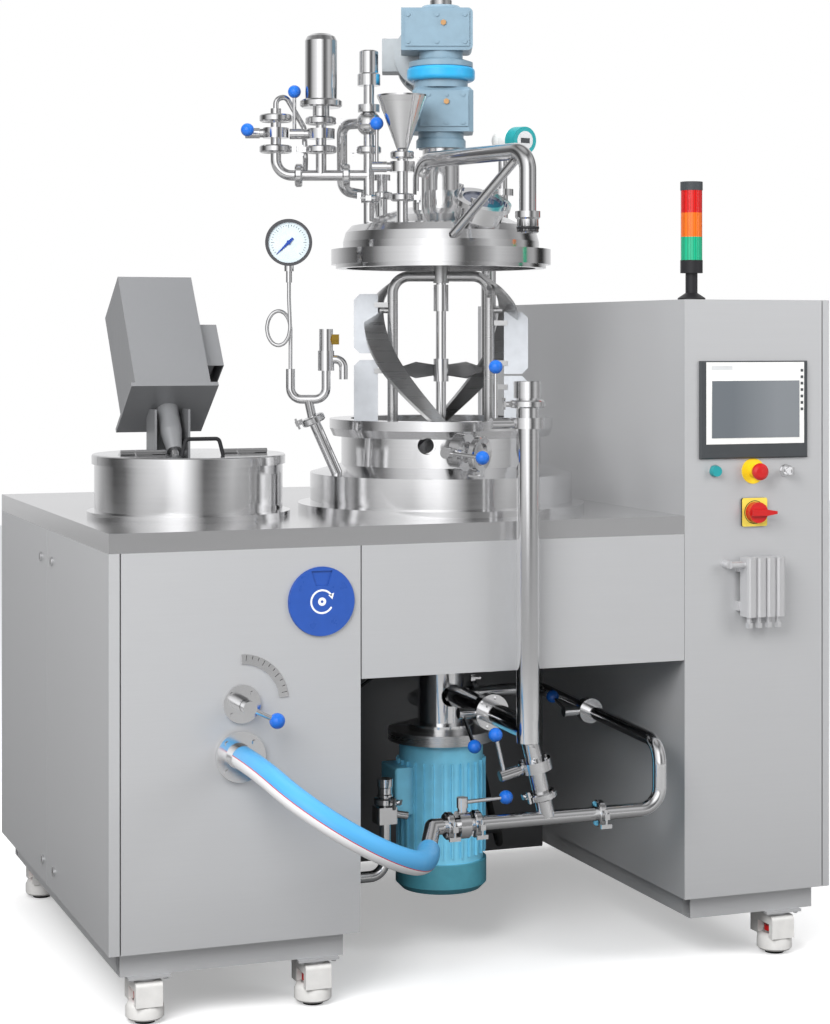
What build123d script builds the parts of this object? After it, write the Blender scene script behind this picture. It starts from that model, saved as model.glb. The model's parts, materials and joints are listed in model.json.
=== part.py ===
from build123d import *
from math import acos, asin, atan2, cos, degrees, hypot, pi, radians, sin, sqrt, tan
import os

# A vacuum homogenizer with a raised lid, a side pot and a control cabinet.
# The model is drawn from the table's front left corner on the floor: X right, Y back, Z up, in millimetres.
# The finished pieces are then moved so that the origin is under the middle of the machine, on the floor.

# Table and cabinets
TABLE_WIDTH = 1340.0
DEPTH = 1250.0
TABLE_Z = 1040.0
TABLE_DROP = 42.0
SHEET = 2.0
LEFT_BOX_WIDTH = 554.0
CABINET_WIDTH = 380.0
CABINET_Z = 1536.0
PANEL_BOTTOM = 160.0
CASTER_HEIGHT = 107.0
PLINTH_INSET = 30.0
TRAY = 20.0
SIDE_TRAY = 23.0
PANEL_GAP = 3.0
APRON_BOTTOM = 709.0
BAY_BACK = 802.0
TUBE = 40.0
TUBE_WALL = 2.5
SIDE_SEAM = 651.0
CABINET_STRIP = 17.0

# Main vessel
VESSEL_X = 890.0
VESSEL_Y = 383.0
VESSEL_BORE = 215.0
VESSEL_WALL = 4.0
VESSEL_BOTTOM = 746.0
DISH_RISE = 62.0
RIM_Z = 1257.0
RIM_RADIUS = 265.0
RIM_HEIGHT = 40.0
NECK_RADIUS = 237.0
SHOULDER_TOP = 1150.0
DRUM_TOP = 1130.0
DRUM_RADIUS = 311.0
LOWER_JACKET = 252.0
BASE_RING_RADIUS = 340.0
BASE_RING_HEIGHT = 19.0

# Lid, raised as it stands for cleaning
LID_TRAVEL = 355.0
SEAT_GAP = 0.4
LID_FLANGE_RADIUS = 261.0
LID_FLANGE_HEIGHT = 36.0
SPIGOT_RADIUS = 250.0
SPIGOT_HEIGHT = 9.0
DOME_RADIUS = 233.0
DOME_CYLINDER = 18.0
DOME_CROWN = 400.0
DOME_TOP = 1765.0
LID_WALL = 5.0
FITTING_TURN = 20.6

# Agitator drive
NECK_RING_RADIUS = 58.0
NECK_RING_TOP = 1796.0
NECK_TUBE_RADIUS = 44.0
NECK_TUBE_TOP = 1897.0
LOWER_BOX = 118.0
LOWER_BOX_BOTTOM = 1934.0
LOWER_BOX_TOP = 2040.0
BLUE_RING_RADIUS = 81.0
BLUE_RING_BOTTOM = 2057.0
BLUE_RING_TOP = 2090.0
UPPER_BOX_WIDTH = 169.0
UPPER_BOX_DEPTH = 112.0
UPPER_BOX_BOTTOM = 2126.0
UPPER_BOX_TOP = 2226.0
DRIVE_MOTOR_RADIUS = 78.0
DRIVE_MOTOR_LENGTH = 230.0

# Agitator
SHAFT_RADIUS = 12.0
HOLLOW_SHAFT_RADIUS = 19.0
RUNNING_FIT = 0.06
ANCHOR_RADIUS = 115.0
ANCHOR_TUBE = 25.0
ANCHOR_BEND = 40.0
ANCHOR_BOTTOM = 1122.0
RIBBON_OUTER = 183.0
RIBBON_WIDTH = 46.0
RIBBON_LEAN = 30.0
RIBBON_THICK = 6.0
RIBBON_LEAD = 1020.0
RIBBON_SIDE_Z = 1487.0
SCRAPER_REACH = 207.0
SCRAPER_THICK = 14.0
PADDLE_REACH = 98.0

# Lift
LIFT_RIGHT = 126.0
LIFT_BACK = 380.0
LIFT_ROD_RADIUS = 19.0
LIFT_BARREL_RADIUS = 32.0
LIFT_BARREL_BOTTOM = 600.0
LIFT_ARM_BOTTOM = 1660.0
LIFT_ARM_HEIGHT = 44.0
LIFT_ARM_WIDTH = 70.0

# Homogenizer under the vessel
STATOR_RADIUS = 55.0
ROTOR_RADIUS = 30.0
STATOR_BORE = 38.0
MOTOR_FLANGE_RADIUS = 126.0
MOTOR_FLANGE_TOP = 520.0
MOTOR_FLANGE_HEIGHT = 25.0
MOTOR_RADIUS = 100.0
MOTOR_FIN = 7.0
MOTOR_BODY_BOTTOM = 215.0
FAN_COVER_BOTTOM = 145.0
FIN_COUNT = 28

# Side pot and its leaning stirrer
POT_X = 279.0
POT_Y = 408.0
POT_RADIUS = 215.0
POT_RING_RADIUS = 232.0
POT_RING_HEIGHT = 14.0
POT_BORE = 196.0
POT_LID_RADIUS = 221.0
POT_LID_BOTTOM = 1161.0
POT_LID_HEIGHT = 22.0
POT_BOTTOM = 770.0
POT_DISH = 50.0
STIRRER_X = 247.0
STIRRER_Y = 412.0
STIRRER_LEAN = 35.6
STIRRER_SHAFT = 10.0
PLATE_DISTANCE = 122.0
PLATE_WIDTH = 205.0
PLATE_DEPTH = 192.0
PLATE_LIP = 10.0
COVER_WIDTH = 178.0
COVER_DEPTH = 166.0
COVER_HEIGHT = 318.0
HATCH_SPLIT = -30.0

# Pipework
STAND_X = 929.0
STAND_Y = -45.0
STAND_PIPE = 51.0
PIPE_WALL = 1.6
SOCKET_TOP = 1352.0
SOCKET_RADIUS = 31.0
SOCKET_BORE = 25.5
SOCKET_DEPTH = 37.0
PLUG_RADIUS = 24.0
PLUG_DEPTH = 28.0
FEED_PIPE = 38.0
LOWER_PIPE = 32.0
LID_PIPE = 25.4
HOSE_DIAMETER = 51.0
OUTLET_Z = 560.0
REMOTE_Z = 671.0
REMOTE_X = 286.0
HOSE_FLANGE_X = 282.0
CLAMP_WIDTH = 17.0
VALVE_WIDTH = 24.0
VALVE_FIT = 0.06
SPINDLE_RADIUS = 4.5
BALL_RADIUS = 15.5

os.makedirs("parts", exist_ok=True)
nodes = {}


def place(name, *pieces):
    """Files solids under a node's name."""
    nodes.setdefault(name, []).extend(solid for piece in pieces for solid in piece.solids())


def block(x, y, z):
    """A box from (low, high) pairs along each axis."""
    size = [pair[1] - pair[0] for pair in (x, y, z)]
    return Pos(x[0], y[0], z[0]) * Box(*size, align=(Align.MIN, Align.MIN, Align.MIN))


def post(x, y, low, high, radius):
    """A vertical cylinder."""
    return Pos(x, y, low) * Cylinder(radius, high - low, align=(Align.CENTER, Align.CENTER, Align.MIN))


def between(start, end):
    """A plane at start that looks towards end, and the distance."""
    start, end = Vector(*start), Vector(*end)
    reach = end - start
    return Plane(origin=start, z_dir=reach), reach.length


def rod(start, end, radius, top_radius=None):
    """A round bar or a cone from one point to another."""
    plane, length = between(start, end)
    upright = (Align.CENTER, Align.CENTER, Align.MIN)
    if top_radius is None:
        return plane * Cylinder(radius, length, align=upright)
    return plane * Cone(radius, top_radius, length, align=upright)


def tube(start, end, radius, bore):
    """A straight hollow cylinder."""
    plane, length = between(start, end)
    upright = (Align.CENTER, Align.CENTER, Align.MIN)
    return plane * (Cylinder(radius, length, align=upright) - Cylinder(bore, length, align=upright))


def turned(points, x=0.0, y=0.0):
    """A ring or vessel wall: a closed outline of (radius, height) points turned about a vertical axis."""
    outline = make_face(Polyline(*[(r, 0, z) for r, z in points], close=True))
    return Pos(x, y, 0) * revolve(outline, Axis.Z)


def bend_limits(points, share=0.45):
    """The largest bend at each inner corner that leaves room for its neighbours."""
    corners = [Vector(*point) for point in points]
    limits = []
    for before, here, after in zip(corners, corners[1:], corners[2:]):
        half_turn = radians((here - before).get_angle(after - here) / 2)
        limits.append(share * min((here - before).length, (after - here).length) / tan(half_turn))
    return limits


def bent_bar(points, bend, diameter, wall=0.0):
    """A bar or pipe with round bends at the inner points, no wider than bend."""
    path = FilletPolyline(*points, radius=[min(bend, limit) for limit in bend_limits(points)])
    section = Circle(diameter / 2)
    if wall:
        section -= Circle(diameter / 2 - wall)
    return sweep(Plane(origin=path @ 0, z_dir=path % 0) * section, path=path)


def tray(x, y, z, open_side, wall=SHEET):
    """A folded sheet panel, open at one side: -x, +x, -y, +y or -z."""
    inner = [[low + wall, high - wall] for low, high in (x, y, z)]
    axis = "xyz".index(open_side[1])
    end = 0 if open_side[0] == "-" else 1
    inner[axis][end] = (x, y, z)[axis][end]
    return block(x, y, z) - block(*inner)


def on_lid(right, back, z):
    """A point among the lid's fittings, whose rows are turned against the table's front."""
    turn = radians(FITTING_TURN)
    x = VESSEL_X + right * cos(turn) + back * sin(turn)
    y = VESSEL_Y - right * sin(turn) + back * cos(turn)
    return (x, y, z)


def lid_way(right, back, up):
    """A direction among the lid's fittings."""
    turn = radians(FITTING_TURN)
    return Vector(right * cos(turn) + back * sin(turn), back * cos(turn) - right * sin(turn), up)


def clamp(center, axis, pipe, reach=13.0, lug=None):
    """A two-part pipe clamp round a pipe, with its hinge lug and wing bolt at the side that lug gives."""
    plane = Plane(origin=Vector(*center), z_dir=Vector(*axis))
    inner, outer, half = pipe / 2, pipe / 2 + reach, CLAMP_WIDTH / 2
    profile = [
        (inner, -half + 3), (outer - 3, -half), (outer, -half + 3),
        (outer, half - 3), (outer - 3, half), (inner, half - 3),
    ]
    ring = plane * revolve(make_face(Polyline(*[(r, 0, z) for r, z in profile], close=True)), Axis.Z)
    if lug is None:
        return [ring]
    way = Vector(*lug).normalized()
    start = Vector(*center) + way * (outer - 2)
    ear = Plane(origin=start + way * 7, x_dir=way, z_dir=Vector(*axis)) * Box(18, 13, CLAMP_WIDTH - 5)
    across = way.cross(Vector(*axis)).normalized()
    bolt = rod(start + way * 10 - across * 16, start + way * 10 + across * 20, 3.2)
    wing = Plane(origin=start + way * 10 + across * 22, x_dir=Vector(*axis), z_dir=across) * Box(26, 5, 9)
    return [ring + ear + bolt + wing]


class Valve:
    """A butterfly valve: its body goes with the pipework, and its spindle, disc and lever turn together."""

    def __init__(self, center, axis, hub, lever, pipe, reach=14.0, hub_length=38.0, lever_length=95.0):
        self.center = Vector(*center)
        self.axis = Vector(*axis).normalized()
        self.hub = Vector(*hub).normalized()
        self.lever = Vector(*lever).normalized()
        self.pipe = pipe
        self.outer = pipe / 2 + reach
        self.hub_length = hub_length
        self.lever_length = lever_length

    def slot(self):
        """The stretch of pipe that the valve body takes the place of."""
        half = VALVE_WIDTH / 2
        return rod(self.center - self.axis * half, self.center + self.axis * half, self.outer + 10)

    def bore(self):
        """Room for the open disc in the pipe on both sides."""
        half = VALVE_WIDTH / 2 + self.pipe / 2
        return rod(self.center - self.axis * half, self.center + self.axis * half, self.pipe / 2 - PIPE_WALL)

    def body(self):
        half = VALVE_WIDTH / 2
        shell = rod(self.center - self.axis * half, self.center + self.axis * half, self.outer)
        neck = rod(self.center, self.center + self.hub * (self.outer + 7), 10.5)
        bore = rod(self.center - self.axis * half, self.center + self.axis * half, self.pipe / 2 - PIPE_WALL)
        spindle = rod(self.center, self.center + self.hub * (self.outer + 7), SPINDLE_RADIUS + VALVE_FIT)
        return shell + neck - bore - spindle

    def moving(self):
        """Disc, spindle, hub, lever and ball."""
        disc_radius = self.pipe / 2 - PIPE_WALL - 0.4
        disc_way = self.axis
        disc = rod(self.center - disc_way * 1.5, self.center + disc_way * 1.5, disc_radius)
        boss = self.outer + 7.3
        spindle = rod(self.center, self.center + self.hub * (boss + 2), SPINDLE_RADIUS)
        start = self.center + self.hub * boss
        end = start + self.hub * self.hub_length
        hub = rod(start, end, 12.5)
        foot = end - self.hub * 11
        tip = foot + self.lever * self.lever_length
        stem = rod(foot, tip, 4.5)
        ball = Pos(*tip) * Sphere(BALL_RADIUS)
        return disc + spindle + hub + stem + ball


def flange_bolts(center, axis, circle, count, radius=4.0, height=4.0, turn=0.0):
    """Bolt heads on a flange's face."""
    plane = Plane(origin=Vector(*center), z_dir=Vector(*axis))
    heads = []
    for index in range(count):
        angle = radians(turn + index * 360 / count)
        spot = Pos(circle * cos(angle), circle * sin(angle), height / 2)
        heads.append(plane * spot * extrude(RegularPolygon(radius, 6), height / 2, both=True))
    return heads


def frame_bar(x, y, z, along):
    """A square steel tube."""
    inner = [[low + TUBE_WALL, high - TUBE_WALL] for low, high in (x, y, z)]
    axis = "xyz".index(along)
    inner[axis] = list((x, y, z)[axis])
    return block(x, y, z) - block(*inner)


RIGHT_SIDE = TABLE_WIDTH + CABINET_WIDTH
RAIL_TOP = TABLE_Z - SHEET
LID_FLANGE_BOTTOM = RIM_Z + LID_TRAVEL + SPIGOT_HEIGHT
SPIGOT_BOTTOM = RIM_Z + LID_TRAVEL + SEAT_GAP


def base_frame():
    """Plinth rails on the floor line, uprights and top rails, all butt-welded square tube."""
    inset = PLINTH_INSET
    low, high = CASTER_HEIGHT, PANEL_BOTTOM
    bays = [(inset, LEFT_BOX_WIDTH - inset), (TABLE_WIDTH + inset, RIGHT_SIDE - inset)]
    for left, right in bays:
        for front in (inset, DEPTH - inset - TUBE):
            place("base_frame", frame_bar((left, right), (front, front + TUBE), (low, high), "x"))
        for side in (left, right - TUBE):
            side_run = (inset + TUBE, DEPTH - inset - TUBE)
            place("base_frame", frame_bar((side, side + TUBE), side_run, (low, high), "y"))
    rear = DEPTH - inset - TUBE
    place("base_frame", frame_bar((bays[0][1], bays[1][0]), (rear, rear + TUBE), (low, high), "x"))
    uprights = [(inset, inset), (LEFT_BOX_WIDTH - inset - TUBE, inset), (inset, rear), (LEFT_BOX_WIDTH - inset - TUBE, rear)]
    for x, y in uprights:
        place("base_frame", frame_bar((x, x + TUBE), (y, y + TUBE), (high, RAIL_TOP), "z"))
    right_rail = (TABLE_WIDTH - TUBE - SHEET, TABLE_WIDTH - SHEET)
    for y in (inset, rear):
        place("base_frame", frame_bar((LEFT_BOX_WIDTH - inset, right_rail[0]), (y, y + TUBE), (RAIL_TOP - TUBE, RAIL_TOP), "x"))
        place("base_frame", frame_bar((inset + TUBE, LEFT_BOX_WIDTH - inset - TUBE), (y, y + TUBE), (RAIL_TOP - TUBE, RAIL_TOP), "x"))
    for x in (inset, right_rail[0]):
        run = (inset + TUBE, rear)
        if x == right_rail[0]:
            run = (inset, rear + TUBE)
        place("base_frame", frame_bar((x, x + TUBE), run, (RAIL_TOP - TUBE, RAIL_TOP), "y"))


def table_top():
    """A folded pan with openings for the vessel, the side pot and the lift rod."""
    pan = tray((0, TABLE_WIDTH), (0, DEPTH), (TABLE_Z - TABLE_DROP, TABLE_Z), "-z")
    pan -= post(VESSEL_X, VESSEL_Y, 0, TABLE_Z + 1, LOWER_JACKET + 4)
    pan -= post(POT_X, POT_Y, 0, TABLE_Z + 1, POT_BORE + 10)
    lift = on_lid(LIFT_RIGHT, LIFT_BACK, 0)
    pan -= post(lift[0], lift[1], 0, TABLE_Z + 1, LIFT_BARREL_RADIUS + 1)
    place("table_top", pan)


def louvred(panel, x, low, high, step, slots, face):
    """Cuts a stack of vent slots through a rear panel."""
    for index in range(slots):
        z = low + index * step
        panel -= block(x, face, (z, z + 8))
    return panel


def body_panels():
    """Folded side and rear panels of the left box, and the rear panel of the pump bay."""
    low, high = PANEL_BOTTOM, TABLE_Z - TABLE_DROP
    seam = PANEL_GAP / 2
    place("body_panels", tray((0, SIDE_TRAY), (0, SIDE_SEAM - seam), (low, high), "+x"))
    place("body_panels", tray((0, SIDE_TRAY), (SIDE_SEAM + seam, DEPTH), (low, high), "+x"))
    rear = (DEPTH - TRAY, DEPTH)
    slot_face = (DEPTH - SHEET - 1, DEPTH + 1)
    left = tray((SIDE_TRAY + PANEL_GAP, LEFT_BOX_WIDTH), rear, (low, high), "-y")
    left = louvred(left, (180, 400), 300, high, 24, 8, slot_face)
    bay = tray((LEFT_BOX_WIDTH + PANEL_GAP, TABLE_WIDTH), rear, (low, high), "-y")
    bay = louvred(bay, (840, 1060), 300, high, 24, 8, slot_face)
    place("body_panels", left, bay)


def left_front_panel():
    low, high = PANEL_BOTTOM, TABLE_Z - TABLE_DROP
    panel = tray((SIDE_TRAY + PANEL_GAP, LEFT_BOX_WIDTH), (0, TRAY), (low, high), "+y")
    panel -= rod((REMOTE_X, -1, REMOTE_Z), (REMOTE_X, TRAY + 1, REMOTE_Z), 13)
    panel -= rod((HOSE_FLANGE_X, -1, OUTLET_Z), (HOSE_FLANGE_X, TRAY + 1, OUTLET_Z), FEED_PIPE / 2 + 8)
    place("left_front_panel", panel)


def bay_panels():
    """The apron over the pump bay, the bay's left wall and its back wall."""
    high = TABLE_Z - TABLE_DROP
    place("body_panels", tray((LEFT_BOX_WIDTH + PANEL_GAP, TABLE_WIDTH - 1), (0, TRAY), (APRON_BOTTOM, high), "+y"))
    wall = (LEFT_BOX_WIDTH - TRAY, LEFT_BOX_WIDTH)
    place("body_panels", tray(wall, (TRAY + 1, BAY_BACK - 1), (PANEL_BOTTOM, high), "-x"))
    back = tray((LEFT_BOX_WIDTH, TABLE_WIDTH), (BAY_BACK, BAY_BACK + TRAY), (CASTER_HEIGHT + 5, high), "+y")
    place("body_panels", back)


def control_cabinet():
    """A welded cabinet body, open at the front behind its panel, with a side return."""
    body = block((TABLE_WIDTH, RIGHT_SIDE), (0, DEPTH), (PANEL_BOTTOM, CABINET_Z))
    body -= block((TABLE_WIDTH + SHEET, RIGHT_SIDE - SHEET), (TRAY, DEPTH - SHEET), (PANEL_BOTTOM + SHEET, CABINET_Z - SHEET))
    body -= block((TABLE_WIDTH - 1, RIGHT_SIDE - CABINET_STRIP), (-1, TRAY), (PANEL_BOTTOM - 1, CABINET_Z + 1))
    place("control_cabinet", body)
    for index in range(7):
        z = 1150 + index * 26
        hood = block((1450, 1610), (DEPTH - 0.1, DEPTH + 7), (z, z + 10))
        place("control_cabinet", chamfer(hood.edges().group_by(Axis.Y)[-1].group_by(Axis.Z)[-1], 5))


SCREEN_X = (1376.8, 1658.0)
SCREEN_Z = (1168.7, 1394.5)
LAMP = (1416.0, 1141.0)
STOP = (1517.0, 1139.0)
KEY = (1601.0, 1139.0)
SWITCH = (1518.5, 1044.0)
PANEL_BORE = 11.0


def control_front_panel():
    panel = tray((TABLE_WIDTH, RIGHT_SIDE - CABINET_STRIP - PANEL_GAP), (0, TRAY), (PANEL_BOTTOM, CABINET_Z), "+y")
    margin = 12
    panel -= block((SCREEN_X[0] + margin, SCREEN_X[1] - margin), (-1, TRAY), (SCREEN_Z[0] + margin, SCREEN_Z[1] - margin))
    for x, z in (LAMP, STOP, KEY, SWITCH):
        panel -= rod((x, -1, z), (x, TRAY, z), PANEL_BORE)
    place("control_front_panel", panel)


def panel_hardware():
    """Locks, flanges and bezels that are fixed to the panels."""
    for y, z in ((718, 928), (589, 928), (694, 212), (563, 212)):
        place("panel_hardware", rod((0, y, z), (-5, y, z), 11) - block((-6, -3.5), (y - 1.5, y + 1.5), (z - 7, z + 7)))
    # The remote lever's bearing flange and its scale
    flange = rod((REMOTE_X, 0, REMOTE_Z), (REMOTE_X, -8, REMOTE_Z), 41)
    flange += rod((REMOTE_X, -8, REMOTE_Z), (REMOTE_X, -40, REMOTE_Z), 17)
    flange -= rod((REMOTE_X, 1, REMOTE_Z), (REMOTE_X, -41, REMOTE_Z), 8 + RUNNING_FIT)
    place("panel_hardware", flange, *flange_bolts((REMOTE_X, -8, REMOTE_Z), (0, -1, 0), 31, 4, 5, 4, 45))
    scale = rod((REMOTE_X, 0, REMOTE_Z), (REMOTE_X, -3, REMOTE_Z), 105) - rod((REMOTE_X, 1, REMOTE_Z), (REMOTE_X, -4, REMOTE_Z), 84)
    sector = make_face(Polyline((0, 0), (0, 200), (200, 200), (200, 20), close=True))
    cutter = Plane(origin=(REMOTE_X, 1, REMOTE_Z), x_dir=(1, 0, 0), z_dir=(0, -1, 0)) * extrude(sector, 6)
    place("panel_hardware", scale & cutter)
    # Backing disc of the status dial
    place("panel_hardware", rod((STATUS[0], 0, STATUS[1]), (STATUS[0], -3, STATUS[1]), 75) - rod((STATUS[0], 1, STATUS[1]), (STATUS[0], -4, STATUS[1]), 5 + RUNNING_FIT))
    # Lamp, and the bezels of the stop button, key switch and main switch
    x, z = LAMP
    lamp = rod((x, TRAY * 2, z), (x, 0, z), PANEL_BORE - 0.5) + rod((x, 0, z), (x, -5, z), 15) + rod((x, -5, z), (x, -16, z), 13.5, 12)
    place("panel_hardware", lamp)
    x, z = STOP
    bezel = rod((x, 0, z), (x, -2, z), 29.5) + rod((x, -2, z), (x, -18, z), 14.5) + rod((x, 0, z), (x, 40, z), PANEL_BORE - 0.5)
    place("panel_hardware", bezel - rod((x, 34, z), (x, -19, z), 6 + RUNNING_FIT))
    x, z = KEY
    bezel = rod((x, 0, z), (x, -5, z), 14.5) + rod((x, -5, z), (x, -18, z), 13) + rod((x, 0, z), (x, 40, z), PANEL_BORE - 0.5)
    place("panel_hardware", bezel - rod((x, 30, z), (x, -19, z), 7 + RUNNING_FIT))
    x, z = SWITCH
    plate = fillet(block((x - 33, x + 33), (-6, 0), (z - 33, z + 33)).edges().filter_by(Axis.Y), 5)
    plate += rod((x, 0, z), (x, 40, z), PANEL_BORE - 0.5)
    place("panel_hardware", plate - rod((x, 30, z), (x, -7, z), 6 + RUNNING_FIT))


STATUS = (464.0, 881.0)


def status_disc():
    x, z = STATUS
    disc = rod((x, -3.4, z), (x, -7, z), 74) + rod((x, 0, z), (x, -3.5, z), 5)
    window = make_face(Polyline((-14, 34), (14, 34), (24, 66), (-24, 66), close=True))
    disc -= Plane(origin=(x, -3, z), x_dir=(1, 0, 0), z_dir=(0, -1, 0)) * extrude(window, 6)
    place("status_disc", disc)


def touch_screen():
    x0, x1 = SCREEN_X
    z0, z1 = SCREEN_Z
    housing = chamfer(block(SCREEN_X, (-9, 0), SCREEN_Z).edges().group_by(Axis.Y)[0], 3)
    housing += block((x0 + 13, x1 - 13), (0, 62), (z0 + 13, z1 - 13))
    place("touch_screen", housing)
    fascia = block((x0 + 14, x1 - 11), (-10, -9), (z0 + 34, z1 - 3))
    glass = block((x0 + 28, x1 - 24), (-11, -10), (z0 + 48, z1 - 46))
    place("touch_screen", fascia, glass)


def emergency_stop():
    x, z = STOP
    cap = revolve(make_face(Polyline((0, -44), (13, -43), (19, -39), (20, -34), (19, -29), (10, -25), (0, -25), close=True)), Axis.Y)
    place("emergency_stop", Pos(x, 0, z) * cap + rod((x, 26, z), (x, -26, z), 6))


def key_switch():
    x, z = KEY
    barrel = rod((x, 24, z), (x, -20, z), 7)
    bow = block((x - 1.2, x + 1.2), (-42, -20), (z - 9, z + 9))
    bow -= rod((x - 2, -34, z), (x + 2, -34, z), 4)
    place("key_switch", barrel + bow)


def main_switch():
    x, z = SWITCH
    knob = rod((x, -6.4, z), (x, -26, z), 24) + rod((x, 24, z), (x, -7, z), 6)
    grip = Plane(origin=(x, -18, z), x_dir=(1, 0, 0), z_dir=(0, -1, 0)) * extrude(
        make_face(Polyline((-20, -7), (20, -7), (44, -3), (44, 3), (20, 7), (-20, 7), close=True)), 17)
    place("main_switch", knob + grip)


VALVE_BANK_X = (1477.0, 1577.0)
VALVE_BANK_Z = (806.0, 942.0)


def air_valve_bank():
    """Four polished ribs side by side on a rail, with a port union under each."""
    x0, x1 = VALVE_BANK_X
    z0, z1 = VALVE_BANK_Z
    pitch = (x1 - x0) / 4
    for index in range(4):
        left = x0 + index * pitch
        rib = block((left, left + pitch - 0.6), (-52, -12), (z0, z1))
        place("air_valve_bank", fillet(rib.edges().filter_by(Axis.Z).group_by(Axis.Y)[0], 9))
        union_x = left + pitch / 2
        union = rod((union_x, -32, z0), (union_x, -32, z0 - 14), 6)
        union += Pos(union_x, -32, z0 - 20) * extrude(RegularPolygon(9, 6), 6, both=True)
        place("air_valve_bank", union)
    place("air_valve_bank", block((x0 - 4, x1 - 10), (-12, 0), (z0 + 12, z0 + 34)), block((x0 - 4, x1 - 10), (-12, 0), (z1 - 34, z1 - 12)))
    elbow = rod((x0, -30, 926), (x0 - 34, -30, 926), 8) + rod((x0 - 34, -30, 926), (x0 - 34, 0, 926), 9)
    place("air_valve_bank", elbow)


TOWER_X = 1389.0
TOWER_Y = 60.0
TOWER_RADIUS = 26.0


def signal_tower():
    """Foot, pole, base, three lenses and a cap, one above another."""
    base = CABINET_Z
    foot = turned([(0, base), (32, base), (32, base + 4), (14, base + 16), (14, base + 62), (0, base + 62)], TOWER_X, TOWER_Y)
    place("signal_tower", foot)
    levels = [62, 92, 146, 202, 254, 274]
    for index, (low, high) in enumerate(zip(levels, levels[1:])):
        gap = 0.0
        radius = TOWER_RADIUS if index in (0, 4) else TOWER_RADIUS - 1
        place("signal_tower", post(TOWER_X, TOWER_Y, base + low, base + high - gap, radius))


def dish(radius, bottom, rise, steps=7):
    """Points of a dished end from its middle out to its edge."""
    return [(radius * sin(pi / 2 * i / steps), bottom + rise * (1 - cos(pi / 2 * i / steps))) for i in range(steps + 1)]


def vessel_shell():
    """The product vessel: rim flange, straight wall and dished bottom with the homogenizer's opening."""
    inner = [p for p in dish(VESSEL_BORE, VESSEL_BOTTOM, DISH_RISE) if p[0] > STATOR_BORE]
    outer = [p for p in dish(VESSEL_BORE + VESSEL_WALL, VESSEL_BOTTOM - VESSEL_WALL, DISH_RISE + VESSEL_WALL) if p[0] > STATOR_RADIUS]
    profile = [(STATOR_BORE, inner[0][1] - 3)] + inner + [(VESSEL_BORE, RIM_Z), (RIM_RADIUS, RIM_Z), (RIM_RADIUS, RIM_Z - 22), (RIM_RADIUS - 8, RIM_Z - RIM_HEIGHT)]
    profile += [(VESSEL_BORE + VESSEL_WALL, RIM_Z - RIM_HEIGHT)] + outer[::-1] + [(STATOR_BORE, outer[0][1] - 3)]
    shell = turned(profile, VESSEL_X, VESSEL_Y)
    side = VESSEL_SIDE_PORT
    shell -= rod(side[0], side[1], 18.4)
    place("vessel_shell", shell)


VESSEL_SIDE_PORT = ((800.0, 300.0, 1202.0), (770.0, 150.0, 1202.0))


def vessel_jacket():
    """Insulated outer skin: neck, sloping shoulder, drum and base ring on the table, and the jacket below it."""
    t = 3.0
    top = RIM_Z - RIM_HEIGHT
    ring_top = TABLE_Z + BASE_RING_HEIGHT
    profile = [
        (NECK_RADIUS - t, top), (NECK_RADIUS, top), (NECK_RADIUS, SHOULDER_TOP), (DRUM_RADIUS, DRUM_TOP),
        (DRUM_RADIUS, ring_top), (BASE_RING_RADIUS, ring_top), (BASE_RING_RADIUS, TABLE_Z),
        (LOWER_JACKET, TABLE_Z), (LOWER_JACKET, VESSEL_BOTTOM + DISH_RISE), (LOWER_JACKET - 40, VESSEL_BOTTOM - 10),
        (STATOR_RADIUS + 20, VESSEL_BOTTOM - 26), (STATOR_RADIUS + 20, VESSEL_BOTTOM - 23),
        (LOWER_JACKET - 41, VESSEL_BOTTOM - 7), (LOWER_JACKET - t, VESSEL_BOTTOM + DISH_RISE),
        (LOWER_JACKET - t, TABLE_Z + t), (DRUM_RADIUS - t, TABLE_Z + t), (DRUM_RADIUS - t, DRUM_TOP - t),
        (NECK_RADIUS - t, SHOULDER_TOP - t),
    ]
    jacket = turned(profile, VESSEL_X, VESSEL_Y)
    jacket -= rod(VESSEL_SIDE_PORT[0], VESSEL_SIDE_PORT[1], 20.4)
    place("vessel_jacket", jacket)


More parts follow.
